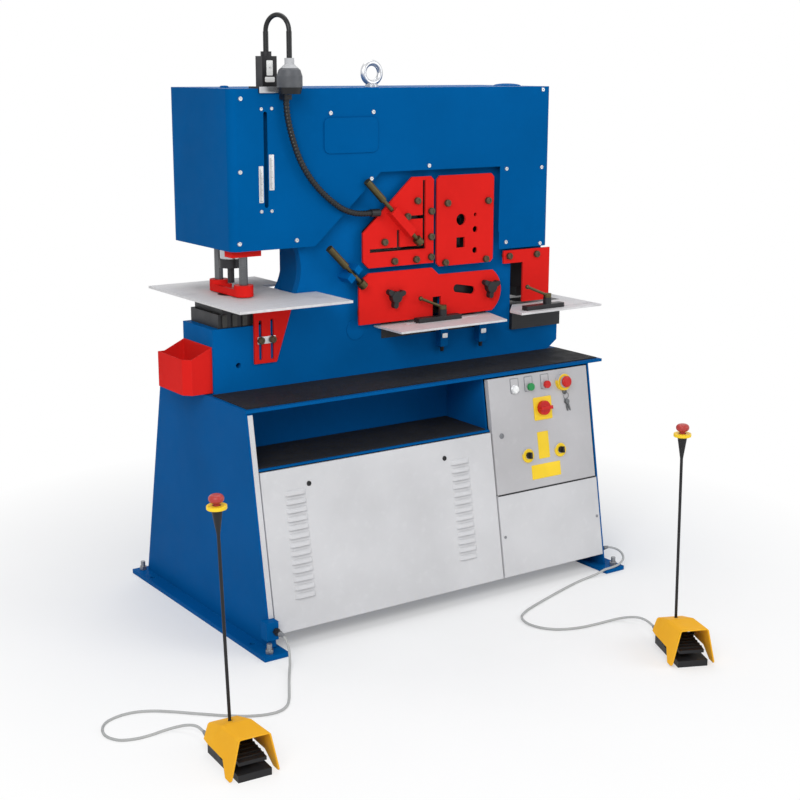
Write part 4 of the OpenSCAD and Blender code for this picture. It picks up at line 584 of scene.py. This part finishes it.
def louvre_maker():
    """A pressed louvre hood, open along its lower edge, over each slot."""
    m = Maker("louvre_hoods", (("Width", "Float"), ("Height", "Float"), ("Depth", "Float")))
    points, width, height, depth = (m.given[k] for k in range(4))
    sheet = m.feed(m.add("GeometryNodeMeshGrid"), Size_X=width, Size_Y=height, Vertices_X=25,
                   Vertices_Y=8).outputs[0]
    position = m.add("GeometryNodeInputPosition").outputs[0]
    where = m.feed(m.add("ShaderNodeSeparateXYZ"), Vector=position).outputs
    across = m.sum("MULTIPLY", m.sum("DIVIDE", where["X"], width), 2.0)
    crown = m.sum("SUBTRACT", 1.0, m.sum("POWER", m.sum("ABSOLUTE", across), 6.0))
    rise = m.sum("ADD", m.sum("DIVIDE", where["Y"], height), 0.5)
    fall = m.sum("SQRT", m.sum("MAXIMUM", m.sum("SUBTRACT", 1.0, m.sum("MULTIPLY", rise, rise))))
    bulge = m.sum("MULTIPLY", m.sum("MULTIPLY", crown, fall), depth)
    hood = m.feed(m.add("GeometryNodeSetPosition"), Geometry=sheet, Offset=m.vector(z=bulge)).outputs[0]
    return m.close(m.scatter(hood, points))


def tick_maker():
    """A row of scale marks up a strip, every fifth one long."""
    m = Maker("scale_ticks", (("Count", "Int"), ("Pitch", "Float"), ("Width", "Float"), ("Height", "Float"),
                              ("Start", "Vector")))
    count, pitch, width, height, start = (m.given[k] for k in range(1, 6))
    row = m.feed(m.add("GeometryNodeMeshLine"), Count=count, Start_Location=start,
                 Offset=m.vector(z=pitch)).outputs[0]
    place = m.sum("MODULO", m.add("GeometryNodeInputIndex").outputs[0], 5.0)
    long = m.sum("LESS_THAN", place, 0.5)
    reach = m.sum("ADD", m.sum("MULTIPLY", long, 0.4), 0.6)
    mark = m.feed(m.add("GeometryNodeMeshCube"), Size=m.vector(width, TICK_DEPTH, height)).outputs[0]
    mark = m.moved(mark, m.vector(x=m.sum("MULTIPLY", width, 0.5)))
    spread = m.add("GeometryNodeInstanceOnPoints")
    m.feed(spread, Points=row, Instance=mark, Scale=m.vector(reach, 1.0, 1.0))
    return m.close(spread.outputs[0])


def conduit_maker():
    """A ribbed hose along a line: its radius swells once in each pitch."""
    m = Maker("conduit_ribs", (("Root radius", "Float"), ("Crest radius", "Float"), ("Pitch", "Float")))
    seed, root, crest, pitch = (m.given[k] for k in range(4))
    line = m.feed(m.add("GeometryNodeMeshToCurve"), Mesh=seed).outputs[0]
    line = m.feed(m.add("GeometryNodeResampleCurve", mode="LENGTH"), Curve=line,
                  Length=m.sum("DIVIDE", pitch, 6.0)).outputs[0]
    travel = m.sum("DIVIDE", m.add("GeometryNodeSplineParameter").outputs["Length"], pitch)
    swell = m.sum("SINE", m.sum("MULTIPLY", travel, 2 * math.pi))
    middle = m.sum("MULTIPLY", m.sum("ADD", root, crest), 0.5)
    depth = m.sum("MULTIPLY", m.sum("SUBTRACT", crest, root), 0.5)
    ring = m.feed(m.add("GeometryNodeCurvePrimitiveCircle"), Resolution=24, Radius=1.0).outputs[0]
    tube = m.feed(m.add("GeometryNodeCurveToMesh"), Curve=line, Profile_Curve=ring,
                  Scale=m.sum("ADD", middle, m.sum("MULTIPLY", swell, depth)), Fill_Caps=True).outputs[0]
    return m.close(m.feed(m.add("GeometryNodeSetShadeSmooth"), Geometry=tube).outputs[0])


SOCKET_SCREWS = socket_screw_maker()
LOUVRES = louvre_maker()
TICKS = tick_maker()
CONDUIT = conduit_maker()


def grown(name, tree, seed, finish, wall=0.0, **sizes):
    """Runs a tree on a seed mesh and returns the result as a plain mesh object."""
    source = bpy.data.objects.new(name + "_seed", seed)
    scene.collection.objects.link(source)
    modifier = source.modifiers.new("make", "NODES")
    modifier.node_group = tree
    sizes["Finish"] = finish
    for item in tree.interface.items_tree:
        if item.in_out == "INPUT" and item.name.replace(" ", "_") in sizes:
            modifier[item.identifier] = sizes[item.name.replace(" ", "_")]
    bpy.context.view_layer.update()
    graph = bpy.context.evaluated_depsgraph_get()
    mesh = bpy.data.meshes.new_from_object(source.evaluated_get(graph), preserve_all_data_layers=False,
                                           depsgraph=graph)
    mesh.name = name
    bpy.data.objects.remove(source)
    if wall:
        bm = bmesh.new()
        bm.from_mesh(mesh)
        bmesh.ops.solidify(bm, geom=list(bm.faces), thickness=wall)
        bmesh.ops.recalc_face_normals(bm, faces=bm.faces)
        bm.to_mesh(mesh)
        bm.free()
        mesh.polygons.foreach_set("use_smooth", [True] * len(mesh.polygons))
        mesh.set_sharp_from_angle(angle=math.radians(40))
    mesh.materials.clear()
    mesh.materials.append(finish)
    piece = bpy.data.objects.new(name, mesh)
    scene.collection.objects.link(piece)
    return piece


def spots(name, places):
    """Seed points with the direction that each faces, from frames."""
    mesh = bpy.data.meshes.new(name)
    mesh.from_pydata([p.translation for p in places], [], [])
    outward = mesh.attributes.new("outward", "FLOAT_VECTOR", "POINT")
    for k, p in enumerate(places):
        outward.data[k].vector = p.col[2].to_3d()
    return mesh


def screws(name, places, finish, slot, head, rise, recess):
    """Socket screws of one size on the machine: radius and rise of the head, radius of the recess."""
    piece = grown(name, SOCKET_SCREWS, spots(name, places), finish, Head_radius=head * MM,
                  Head_height=rise * MM, Recess_radius=recess * MM)
    settle(piece, "machine")


# Cords and conduit

LEFT_ROUTE = (
    (-680, -470, 76), (-680, -488, 76), (-681, -506, 70), (-683, -522, 57), (-687, -537, 38),
    (-696, -555, 17), (-713, -581, 6.5), (-749, -640, 5), (-781, -695, 5), (-815, -752, 5), (-842, -787, 5),
    (-874, -806, 5), (-912, -806, 5), (-964, -785, 5), (-1014, -748, 5), (-1072, -694, 5), (-1130, -638, 5),
    (-1174, -603, 5), (-1218, -584, 5), (-1265, -583, 5), (-1308, -600, 5), (-1335, -637, 5),
    (-1341, -682, 5), (-1321, -720, 5), (-1281, -737, 5), (-1238, -739, 5), (-1199, -738, 7),
    (-1168, -747, 12), (-1145, -768, 20), (-1133, -800, 27), (-1132, -836, 28), (-1134, -868, 28))
RIGHT_ROUTE = (
    (714, -395, 62), (729, -395.5, 62), (744, -399, 60.8), (757, -408, 57.5), (765.5, -421, 52.5),
    (767, -436, 46.5), (761.5, -451, 40), (749, -465, 32.5), (726, -475, 26), (700, -480, 22),
    (668, -482, 20.5), (646, -482, 19.5), (612, -481, 11), (576, -481, 6), (534, -487, 5), (470, -504, 5),
    (403, -525, 5), (318, -554, 5), (234, -584, 5), (176, -609, 5), (134, -640, 5), (116, -688, 5),
    (124, -738, 5), (160, -784, 5), (228, -814, 5), (300, -823, 5), (346, -827, 6), (382, -838, 10),
    (405, -861, 17), (415, -893, 24), (413, -925, 27.5), (403, -962, 28), (384, -1005, 28))
CONDUIT_LOW = 1296
CONDUIT_HIGH = 1666
# Across, from front to rear, and the share of the height
CONDUIT_STEPS = (
    (-423, -112, 1), (-422.8, -112, 0.966), (-421.9, -112, 0.925), (-418.4, -112, 0.855),
    (-411.6, -112, 0.77), (-396, -112, 0.629), (-374, -112, 0.487), (-344, -112, 0.357),
    (-306, -112, 0.238), (-262, -111, 0.136), (-214, -107, 0.054), (-168, -101.2, 0.012),
    (-136, -98.4, 0.001), (-117, -98, 0), (-100, -98, 0))
CORD_RADIUS = 4
HOSE_RADIUS = 10.5
HOSE_ROOT = 8.4
HOSE_PITCH = 11
CONDUIT_ROUTE = [(x, y, CONDUIT_LOW + share * (CONDUIT_HIGH - CONDUIT_LOW))
                 for x, y, share in CONDUIT_STEPS]


def relief(bm, end, along):
    """A tapered sleeve with rings over the first stretch of a cord."""
    up = along.orthogonal().normalized()
    place = axes(end / MM, up, along.cross(up), along)
    profile = [(0, -2), (8.2, -2), (8.2, 3)]
    for k in range(5):
        r = 7.6 - 0.6 * k
        profile += [(r, 3.6 + 4 * k), (r, 5.8 + 4 * k), (r - 0.9, 6.4 + 4 * k), (r - 0.9, 7.2 + 4 * k)]
    turned(bm, profile + [(CORD_RADIUS + 0.2, 25), (0, 25)], place, 24)


def pedal_cord(name, route, node):
    """A round cord along its route, with a sleeve at each end."""
    path = eased(route)
    curve = bpy.data.curves.new(name, "CURVE")
    curve.dimensions = "3D"
    line = curve.splines.new("POLY")
    line.points.add(len(path) - 1)
    for point, where in zip(line.points, path):
        point.co = (*where, 1)
    curve.bevel_depth = CORD_RADIUS * MM
    curve.bevel_resolution = 4
    curve.use_fill_caps = True
    curve.materials.append(cord_rubber)
    cord = bpy.data.objects.new(name, curve)
    scene.collection.objects.link(cord)
    settle(cord, "machine")
    bm = bmesh.new()
    relief(bm, path[0], (path[1] - path[0]).normalized())
    relief(bm, path[-1], (path[-2] - path[-1]).normalized())
    sleeves = closed(name + "_sleeves", bm, grey_plastic, "machine")
    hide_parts(node)


def lamp_conduit():
    """The ribbed hose from the elbow under the lamp to the angle guard."""
    path = eased(CONDUIT_ROUTE, 10)
    seed = bpy.data.meshes.new("conduit_line")
    seed.from_pydata(path, [(k, k + 1) for k in range(len(path) - 1)], [])
    hose = grown("conduit_hose", CONDUIT, seed, conduit_rubber, Root_radius=HOSE_ROOT * MM,
                 Crest_radius=HOSE_RADIUS * MM, Pitch=HOSE_PITCH * MM)
    settle(hose, "machine")
    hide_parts("flexible_conduit")


pedal_cord("left_pedal_cord", LEFT_ROUTE, "left_cord")
pedal_cord("right_pedal_cord", RIGHT_ROUTE, "right_cord")
lamp_conduit()


# Upper cover

# Radius and rise of a cover screw's head, and radius of its recess
COVER_SCREW = (7.5, 3.6, 3.2)
SLOT_SCREW = (6, 3.4, 2.6)
# Each scale strip: its sides and its ends
SCALE_STRIPS = (("left_scale", -514, -498, 1349, 1463), ("right_scale", -477, -459, 1387, 1498))
STRIP_THICK = 1.4
TICK_PITCH = 3.5
DOME_RADIUS = 50
DOME_RISE = 8


def cover_fittings():
    """Screws, pressed field, scale strips and caps of the upper cover."""
    edge_places = ((-574, 1670), (-580, 1447), (-587, 1225), (-380, 1224), (-249, 1622), (-85, 1623),
                   (-93, 1408), (140, 1442), (474, 1419), (633, 1419), (477, 1162), (634, 1148), (631, 1689))
    edge_screws = [on_front(x, COVER_FRONT, z) for x, z in edge_places]
    screws("cover_screws", edge_screws, zinc_steel, "steel", *COVER_SCREW)
    slot_places = ((-502, 1638), (-465, 1639), (-507, 1322), (-470, 1322))
    slot_screws = [on_front(x, COVER_FRONT, z) for x, z in slot_places]
    screws("slot_screws", slot_screws, zinc_steel, "steel", *SLOT_SCREW)
    rear_screws = [on_back(x, COVER_REAR, z) for x in (-574, -260, 40, 340, 634) for z in (1225, 1448, 1670)]
    screws("rear_cover_screws", rear_screws, zinc_steel, "steel", *COVER_SCREW)

    bm = bmesh.new()
    slab(bm, rounded_outline(206, 113, 18, 8), on_front(-171, COVER_FRONT, 1550.5), 5, 4, -0.4)
    closed("pressed_field", bm, cover_paint, "machine")

    for name, x0, x1, z0, z1 in SCALE_STRIPS:
        bm = bmesh.new()
        middle = on_front((x0 + x1) / 2, COVER_FRONT, (z0 + z1) / 2)
        slab(bm, rounded_outline(x1 - x0, z1 - z0, 1.5), middle, STRIP_THICK)
        closed(name, bm, zinc_steel, "machine")
        count = int((z1 - z0 - 10) / TICK_PITCH)
        marks = grown(name + "_marks", TICKS, bpy.data.meshes.new(name + "_row"), black_plastic, Count=count,
                      Pitch=TICK_PITCH * MM, Width=9 * MM, Height=0.9 * MM,
                      Start=at(x0 + 3, COVER_FRONT - STRIP_THICK - 0.05, z0 + 5))
        settle(marks, "machine")

    bm = bmesh.new()
    turned(bm, [(0, -2), (14, -2), (14, 3), (13, 5), (9, 6.4), (0, 6.8)], on_top(-517, 118, COVER_TOP))
    closed("oil_cap", bm, cover_paint, "machine")
    bm = bmesh.new()
    arc = [k * math.pi / 20 for k in range(1, 10)]
    dome = [(0, -2), (DOME_RADIUS, -2)] + [(DOME_RADIUS * math.cos(a), DOME_RISE * math.sin(a)) for a in arc]
    turned(bm, dome + [(0, DOME_RISE)], on_top(638, 118, COVER_TOP), 48)
    closed("cover_dome", bm, cover_paint, "machine")


cover_fittings()


# Guards and stations

FRAME_FACE = -56
GUARD_BACK = -78
BRACKET_FACE = -64
BOLSTER_FACE = -46
RIB_FACE = -86
RIB_PLACES = (216, 386)


GUARD_BOLT_TOP = -94.9
BRACKET_BOLT_TOP = -72.9
BRACKET_BOLTS = ((-503, 906), (-460, 906))
# Radius and rise of a bolt head's rim, and radius of its recess
GUARD_BOLT = (11.4, 2.4, 6)
BRACKET_BOLT = (10.6, 2.4, 6)


def guard_fittings():
    """Bolt heads, black plates of painted shade behind the guards' openings, and clamps of the work stations.
    """
    bolt_places = ((96, 1326), (55, 1275), (154, 1288), (-38, 1195), (154, 1201), (2, 1128), (92, 1128),
                   (154, 1132), (222, 1312), (398, 1312), (215, 1108), (392, 1108), (624, 1109), (498, 1110))
    guard_bolts = [on_front(x, GUARD_BOLT_TOP, z) for x, z in bolt_places]
    screws("guard_bolt_sockets", guard_bolts, bolt_steel, "tool_steel", *GUARD_BOLT)
    bracket_bolts = [on_front(x, BRACKET_BOLT_TOP, z) for x, z in BRACKET_BOLTS]
    screws("bracket_bolt_sockets", bracket_bolts, bolt_steel, "tool_steel", *BRACKET_BOLT)

    bm = bmesh.new()
    slab(bm, rounded_outline(66, 24, 2), on_front(-481.5, BRACKET_FACE, 906), 2, 0.5, -0.2)
    closed("bracket_washer", bm, zinc_steel, "machine")

    # Black plates behind the openings in the guards: painted shade where the space behind is dark.
    bm = bmesh.new()
    for x, z, width, height in ((316, 1008, 116, 50), (182, 976, 46, 48)):
        slab(bm, rounded_outline(width, height, 6), on_front(x, FRAME_FACE, z), 1.2, 0.4, -0.2)
    slab(bm, rounded_outline(26, 68, 2), on_front(22, GUARD_BACK, 1204), 1.2, 0.3, -1)
    closed("bar_window_plates", bm, black_plastic, "machine")

    bm = bmesh.new()
    turned(bm, [(0, -0.5), (36, -0.5), (36, 1.6), (35, 2.4), (0, 2.4)], on_front(-134, FRAME_FACE, 904), 64)
    closed("pivot_cap", bm, frame_paint, "machine")

    bm = bmesh.new()
    for x in (-624, -588, -552, -516, -480):
        slab(bm, rounded_outline(17, 40, 3), on_front(x, BOLSTER_FACE, 978), 6, 1, -0.3)
    for x in (-606, -545, -484):
        turned(bm, [(0, -0.5), (9, -0.5), (9, 6), (8, 7), (4.5, 7), (4.5, 3), (0, 3)],
               on_front(x, BOLSTER_FACE, 1018), 28)
    closed("bolster_clamps", bm, clamp_steel, "machine")

    bm = bmesh.new()
    for x in RIB_PLACES:
        slab(bm, rounded_outline(22, 16, 2), on_front(x, RIB_FACE, 852), 5, 0.8, -0.3)
    closed("rib_clamps", bm, zinc_steel, "machine")
    bm = bmesh.new()
    for x in RIB_PLACES:
        turned(bm, [(0, 1), (7, 1), (7, -16), (6, -18), (0, -18)], on_top(x, -72, 813), 24)
    closed("rib_bolts", bm, black_plastic, "machine")


guard_fittings()


# Cabinet

# Profile of a quarter-turn lock: shares of its radius, and rise in millimetres
LOCK_FORM = ((0, -0.5), (1, -0.5), (1, 1.5), (0.9, 2.6), (0.6, 2.8), (0.56, 1.2), (0, 1.2))


LOUVRE_COLUMNS = (-551, 88.5)
LOUVRE_FOOT = 145
LOUVRE_PITCH = 27
LOUVRE_COUNT = 13
LOUVRE_SHEET = 0.0008
FLANGE_MIDDLE = -679.2
FLANGE_HALF = 8.8


def cabinet_fittings():
    """Louvre hoods, locks, the door's seal and the rear service cover."""
    slots = [on_slope(u, FOOT_TOP + (LOUVRE_FOOT + LOUVRE_PITCH * i) * SLOPE_C, PANEL_FACE - 0.3)
             for u in LOUVRE_COLUMNS for i in range(LOUVRE_COUNT)]
    hoods = grown("louvre_hoods", LOUVRES, spots("louvre_spots", slots), panel_paint, LOUVRE_SHEET,
                  Width=76 * MM, Height=17 * MM, Depth=8 * MM)
    settle(hoods, "louvred_panel")

    locks = (("panel_locks", ((-499, 496), (27, 496)), "louvred_panel", 8, black_plastic, "black_plastic"),
             ("door_lock", ((275, 535),), "control_door", 9.5, grey_plastic, "gland_grey"),
             ("cover_locks", ((252, 192), (672, 194)), "machine", 5, dull_steel, "steel"))
    for name, places, body, r, finish, slot in locks:
        bm = bmesh.new()
        for x, z in places:
            turned(bm, [(r * k, w) for k, w in LOCK_FORM], on_slope(x, z))
            slab(bm, rounded_outline(0.9 * r, 0.24 * r, 0.1 * r), on_slope(x, z), 1.4, 0.3, 1.1)
        closed(name, bm, finish, body)

    bm = bmesh.new()
    low, high = (on_slope(FLANGE_MIDDLE, z, 0) for z in (107.5, 730))
    reach = (high.translation - low.translation).length / MM
    flange = [(-FLANGE_HALF, 0), (FLANGE_HALF, 0), (FLANGE_HALF, reach), (-FLANGE_HALF, reach)]
    slab(bm, flange, low, 1.1, 0.3, -0.3)
    closed("front_flange_skin", bm, panel_paint, "machine")

    bm = bmesh.new()
    slab(bm, rounded_outline(446, 5, 0.6), on_slope(460.5, 334.8), 0.9, 0.3, -0.3)
    closed("door_seal", bm, black_plastic, "machine")

    bm = bmesh.new()
    slab(bm, rounded_outline(620, 380, 14), on_rear_slope(0, 380), 2.2, 0.8, -0.2)
    closed("service_cover", bm, cabinet_paint, "machine")
    edge_places = [(x, z) for x in (-288, -96, 96, 288) for z in (212, 548)] + [(-288, 380), (288, 380)]
    lift = Matrix.Translation(at(0, 0, 2))
    edge_screws = [on_rear_slope(x, z) @ lift for x, z in edge_places]
    screws("service_cover_screws", edge_screws, zinc_steel, "steel", *COVER_SCREW)


cabinet_fittings()


# Control door

LABEL_PLACES = (349, 411, 484)


def door_fittings():
    """Pilot lamp, plates, collars and keys of the control door."""
    bm = bmesh.new()
    pilot = on_slope(349, 684)
    turned(bm, [(0, -0.5), (17, -0.5), (17, 3.5), (15.5, 5), (13.5, 5), (13.5, 2), (0, 2)], pilot)
    closed("pilot_ring", bm, zinc_steel, "control_door")
    bm = bmesh.new()
    turned(bm, [(0, 1), (13.2, 1), (13.2, 8), (11.5, 11), (7, 12.8), (0, 13.4)], pilot)
    closed("pilot_lens", bm, bulb_glass, "control_door")

    bm = bmesh.new()
    for x in LABEL_PLACES:
        slab(bm, rounded_outline(37, 52, 3), on_slope(x, 697), 1.2, 0.3, -0.2)
    closed("label_holders", bm, grey_plastic, "control_door")
    bm = bmesh.new()
    for x in LABEL_PLACES:
        slab(bm, rounded_outline(32, 47, 2), on_slope(x, 697), 0.8, 0.2, 0.6)
    closed("label_blanks", bm, door_paint, "control_door")

    bm = bmesh.new()
    ring = [(20.5, -0.5), (29.4, -0.5), (29.4, 15.2), (28.2, 16.4), (20.5, 16.4), (20.5, -0.5)]
    turned(bm, ring, on_slope(562, 685), 48)
    closed("stop_collar", bm, yellow_plastic, "control_door")

    bm = bmesh.new()
    slab(bm, rounded_outline(80.6, 80.6, 4), on_slope(465, 606.2), 2.5, 0.6, -0.2)
    closed("switch_plate", bm, yellow_plastic, "control_door")

    bm = bmesh.new()
    disc = [(12, -0.5), (24.4, -0.5), (24.4, 4.6), (23.4, 5.4), (12, 5.4), (12, -0.5)]
    for x in (381, 527):
        turned(bm, disc, on_slope(x, 452.6), 40)
    closed("selector_discs", bm, yellow_plastic, "control_door")

    bm = bmesh.new()
    turned(bm, [(0, -0.5), (9, -0.5), (9, 4), (8, 5), (5, 5), (5, 3), (0, 3)], on_slope(570, 650), 28)
    loop = on_slope(573, 636)
    hoop(bm, [loop @ at(11 * math.cos(a), 11 * math.sin(a), 4.5 + 1.5 * math.sin(a))
              for a in (k * math.pi / 16 for k in range(32))], 0.9, 8)
    bow = [(9 * math.cos(math.radians(a)), 9 * math.sin(math.radians(a))) for a in range(-70, 251, 20)]
    key = bow + [(-3, -30), (-1.6, -34), (1.2, -36), (3, -32)]
    for x, z, lift, turn in ((573, 617, 1, 6), (577, 616, 3.4, 16)):
        place = on_slope(x, z, PANEL_FACE + lift) @ Matrix.Rotation(math.radians(turn), 4, "Z")
        slab(bm, key, place, 2, 0.4)
    closed("door_keys", bm, post_steel, "control_door")

    bm = bmesh.new()
    slab(bm, rounded_outline(130, 50, 2), on_slope(458, 391), 0.8, 0.3)
    slab(bm, rounded_outline(49, 94, 2), on_slope(455, 480), 0.8, 0.3)
    closed("bare_plates", bm, yellow_plastic, "control_door")


door_fittings()


# Lamp

BELL_AXIS = (-429.3, -145.7)
LAMP_BOX_X = -458
LAMP_BOX_FACE = -73
BRACKET_LIP_FACE = -98


def lamp_fittings():
    """Bulb, switch plate and bracket lip of the work lamp."""
    bell = on_top(*BELL_AXIS, 0)
    bm = bmesh.new()
    bulb = [(0, 1690), (9, 1691.5), (17, 1697), (21, 1706), (21, 1714), (17, 1726), (12, 1738), (12, 1752),
            (0, 1752)]
    turned(bm, bulb, bell)
    closed("lamp_bulb", bm, bulb_glass, "machine")
    bm = bmesh.new()
    slab(bm, rounded_outline(22, 46, 3), on_front(LAMP_BOX_X, LAMP_BOX_FACE, 1762), 1, 0.3)
    slab(bm, rounded_outline(34, 16, 3), on_front(LAMP_BOX_X, LAMP_BOX_FACE, 1727), 1.4, 0.3)
    slab(bm, rounded_outline(9, 13, 2), on_front(LAMP_BOX_X, LAMP_BOX_FACE - 1, 1770), 5, 1)
    closed("lamp_switch_plate", bm, white_plastic, "machine")
    bm = bmesh.new()
    slab(bm, rounded_outline(103, 19, 1), on_front(LAMP_BOX_X, BRACKET_LIP_FACE, 1696), 0.8, 0.3)
    closed("lamp_bracket_face", bm, zinc_steel, "machine")


lamp_fittings()


# Pedals

# Where each pedal's cord enters, the pedal's turn, and the lean of its pole
PEDALS = (((-1134, -868), -4, -2), ((384, -1005), -24, -0.75))
# From a cord's entry to the foot of the pole, in the pedal's own directions
POLE_FOOT = (30, -87, 42)


def pole_frame(entry, turn, lean):
    """Frame of a pedal's pole, from the floor up along the pole."""
    return (Matrix.Translation(at(*entry, 0)) @ Matrix.Rotation(math.radians(turn), 4, "Z")
            @ Matrix.Translation(at(*POLE_FOOT)) @ Matrix.Rotation(math.radians(lean), 4, "Y")
            @ Matrix.Translation(at(0, 0, -POLE_FOOT[2])))


def pedal_fittings():
    """Yellow collars under the mushroom buttons of the poles."""
    bm = bmesh.new()
    collar = [(11, 691.9), (25.6, 691.9), (26.6, 690.9), (26.6, 683.1), (25.6, 682.1), (15.6, 682.1),
              (11, 691.9)]
    for pedal in PEDALS:
        turned(bm, collar, pole_frame(*pedal), 48)
    closed("pole_collars", bm, yellow_plastic, "machine")


pedal_fittings()


# Floor and light

FLOOR_REACH = 40
LIGHT_AIM = (0, -0.1, 0.8)


def rays_to_white(tree):
    """1 for rays that show the background: to the camera, in gloss or through glass."""
    rays = tree.nodes.new("ShaderNodeLightPath")
    seen = rays.outputs["Is Camera Ray"]
    for label in ("Is Glossy Ray", "Is Transmission Ray"):
        either = tree.nodes.new("ShaderNodeMath")
        either.operation = "MAXIMUM"
        tree.links.new(seen, either.inputs[0])
        tree.links.new(rays.outputs[label], either.inputs[1])
        seen = either.outputs[0]
    return seen


def pale_floor():
    """A pale floor that keeps the shadows near the machine and turns white further out."""
    f = Finish("pale_floor")
    tone = f.blend(f.spread(f.noise(2, 3), 0.3, 0.7), srgb(247, 247, 247), srgb(250, 250, 250))
    finish = f.done(tone, f.spread(f.noise(9, 3), 0.3, 0.7, 0.75, 0.85), shine=0.1)
    reach = f.add("ShaderNodeVectorMath", operation="LENGTH")
    f.join(f.place, reach.inputs[0])
    share = f.product(f.spread(reach.outputs["Value"], 0.9, 1.9, 0.25, 1), rays_to_white(f.tree))
    white = f.add("ShaderNodeEmission")
    pick = f.add("ShaderNodeMixShader")
    f.join(share, pick.inputs[0])
    f.join(f.shader.outputs[0], pick.inputs[1])
    f.join(white.outputs[0], pick.inputs[2])
    f.join(pick.outputs[0], f.tree.nodes["Material Output"].inputs["Surface"])
    mesh = bpy.data.meshes.new("studio_floor")
    corners = [(x * FLOOR_REACH, y * FLOOR_REACH, 0) for x, y in ((-1, -1), (1, -1), (1, 1), (-1, 1))]
    mesh.from_pydata(corners, [], [(0, 1, 2, 3)])
    mesh.materials.append(finish)
    floor = bpy.data.objects.new("studio_floor", mesh)
    scene.collection.objects.link(floor)


def studio_world():
    """Soft light from all round, with a white background."""
    world = bpy.data.worlds.new("white_studio")
    world.use_nodes = True
    scene.world = world
    tree = world.node_tree
    soft = tree.nodes["Background"]
    soft.inputs["Color"].default_value = (0.95, 0.97, 1, 1)
    soft.inputs["Strength"].default_value = 0.42
    white = tree.nodes.new("ShaderNodeBackground")
    white.inputs["Color"].default_value = (1, 1, 1, 1)
    pick = tree.nodes.new("ShaderNodeMixShader")
    tree.links.new(rays_to_white(tree), pick.inputs[0])
    tree.links.new(soft.outputs[0], pick.inputs[1])
    tree.links.new(white.outputs[0], pick.inputs[2])
    tree.links.new(pick.outputs[0], tree.nodes["World Output"].inputs["Surface"])


def soft_lamp(name, place, power, size):
    """A square area light that looks at the machine."""
    light = bpy.data.lights.new(name, "AREA")
    light.energy = power
    light.size = size
    lamp = bpy.data.objects.new(name, light)
    scene.collection.objects.link(lamp)
    place = Vector(place)
    turn = (Vector(LIGHT_AIM) - place).to_track_quat("-Z", "Y")
    lamp.matrix_world = Matrix.Translation(place) @ turn.to_matrix().to_4x4()


pale_floor()
studio_world()
soft_lamp("key_lamp", (-4.0, -4.2, 4.0), 190, 3.2)
soft_lamp("side_lamp", (3.6, -4.2, 3.0), 70, 3.0)
soft_lamp("top_lamp", (0.2, 0.8, 5.2), 80, 3.5)
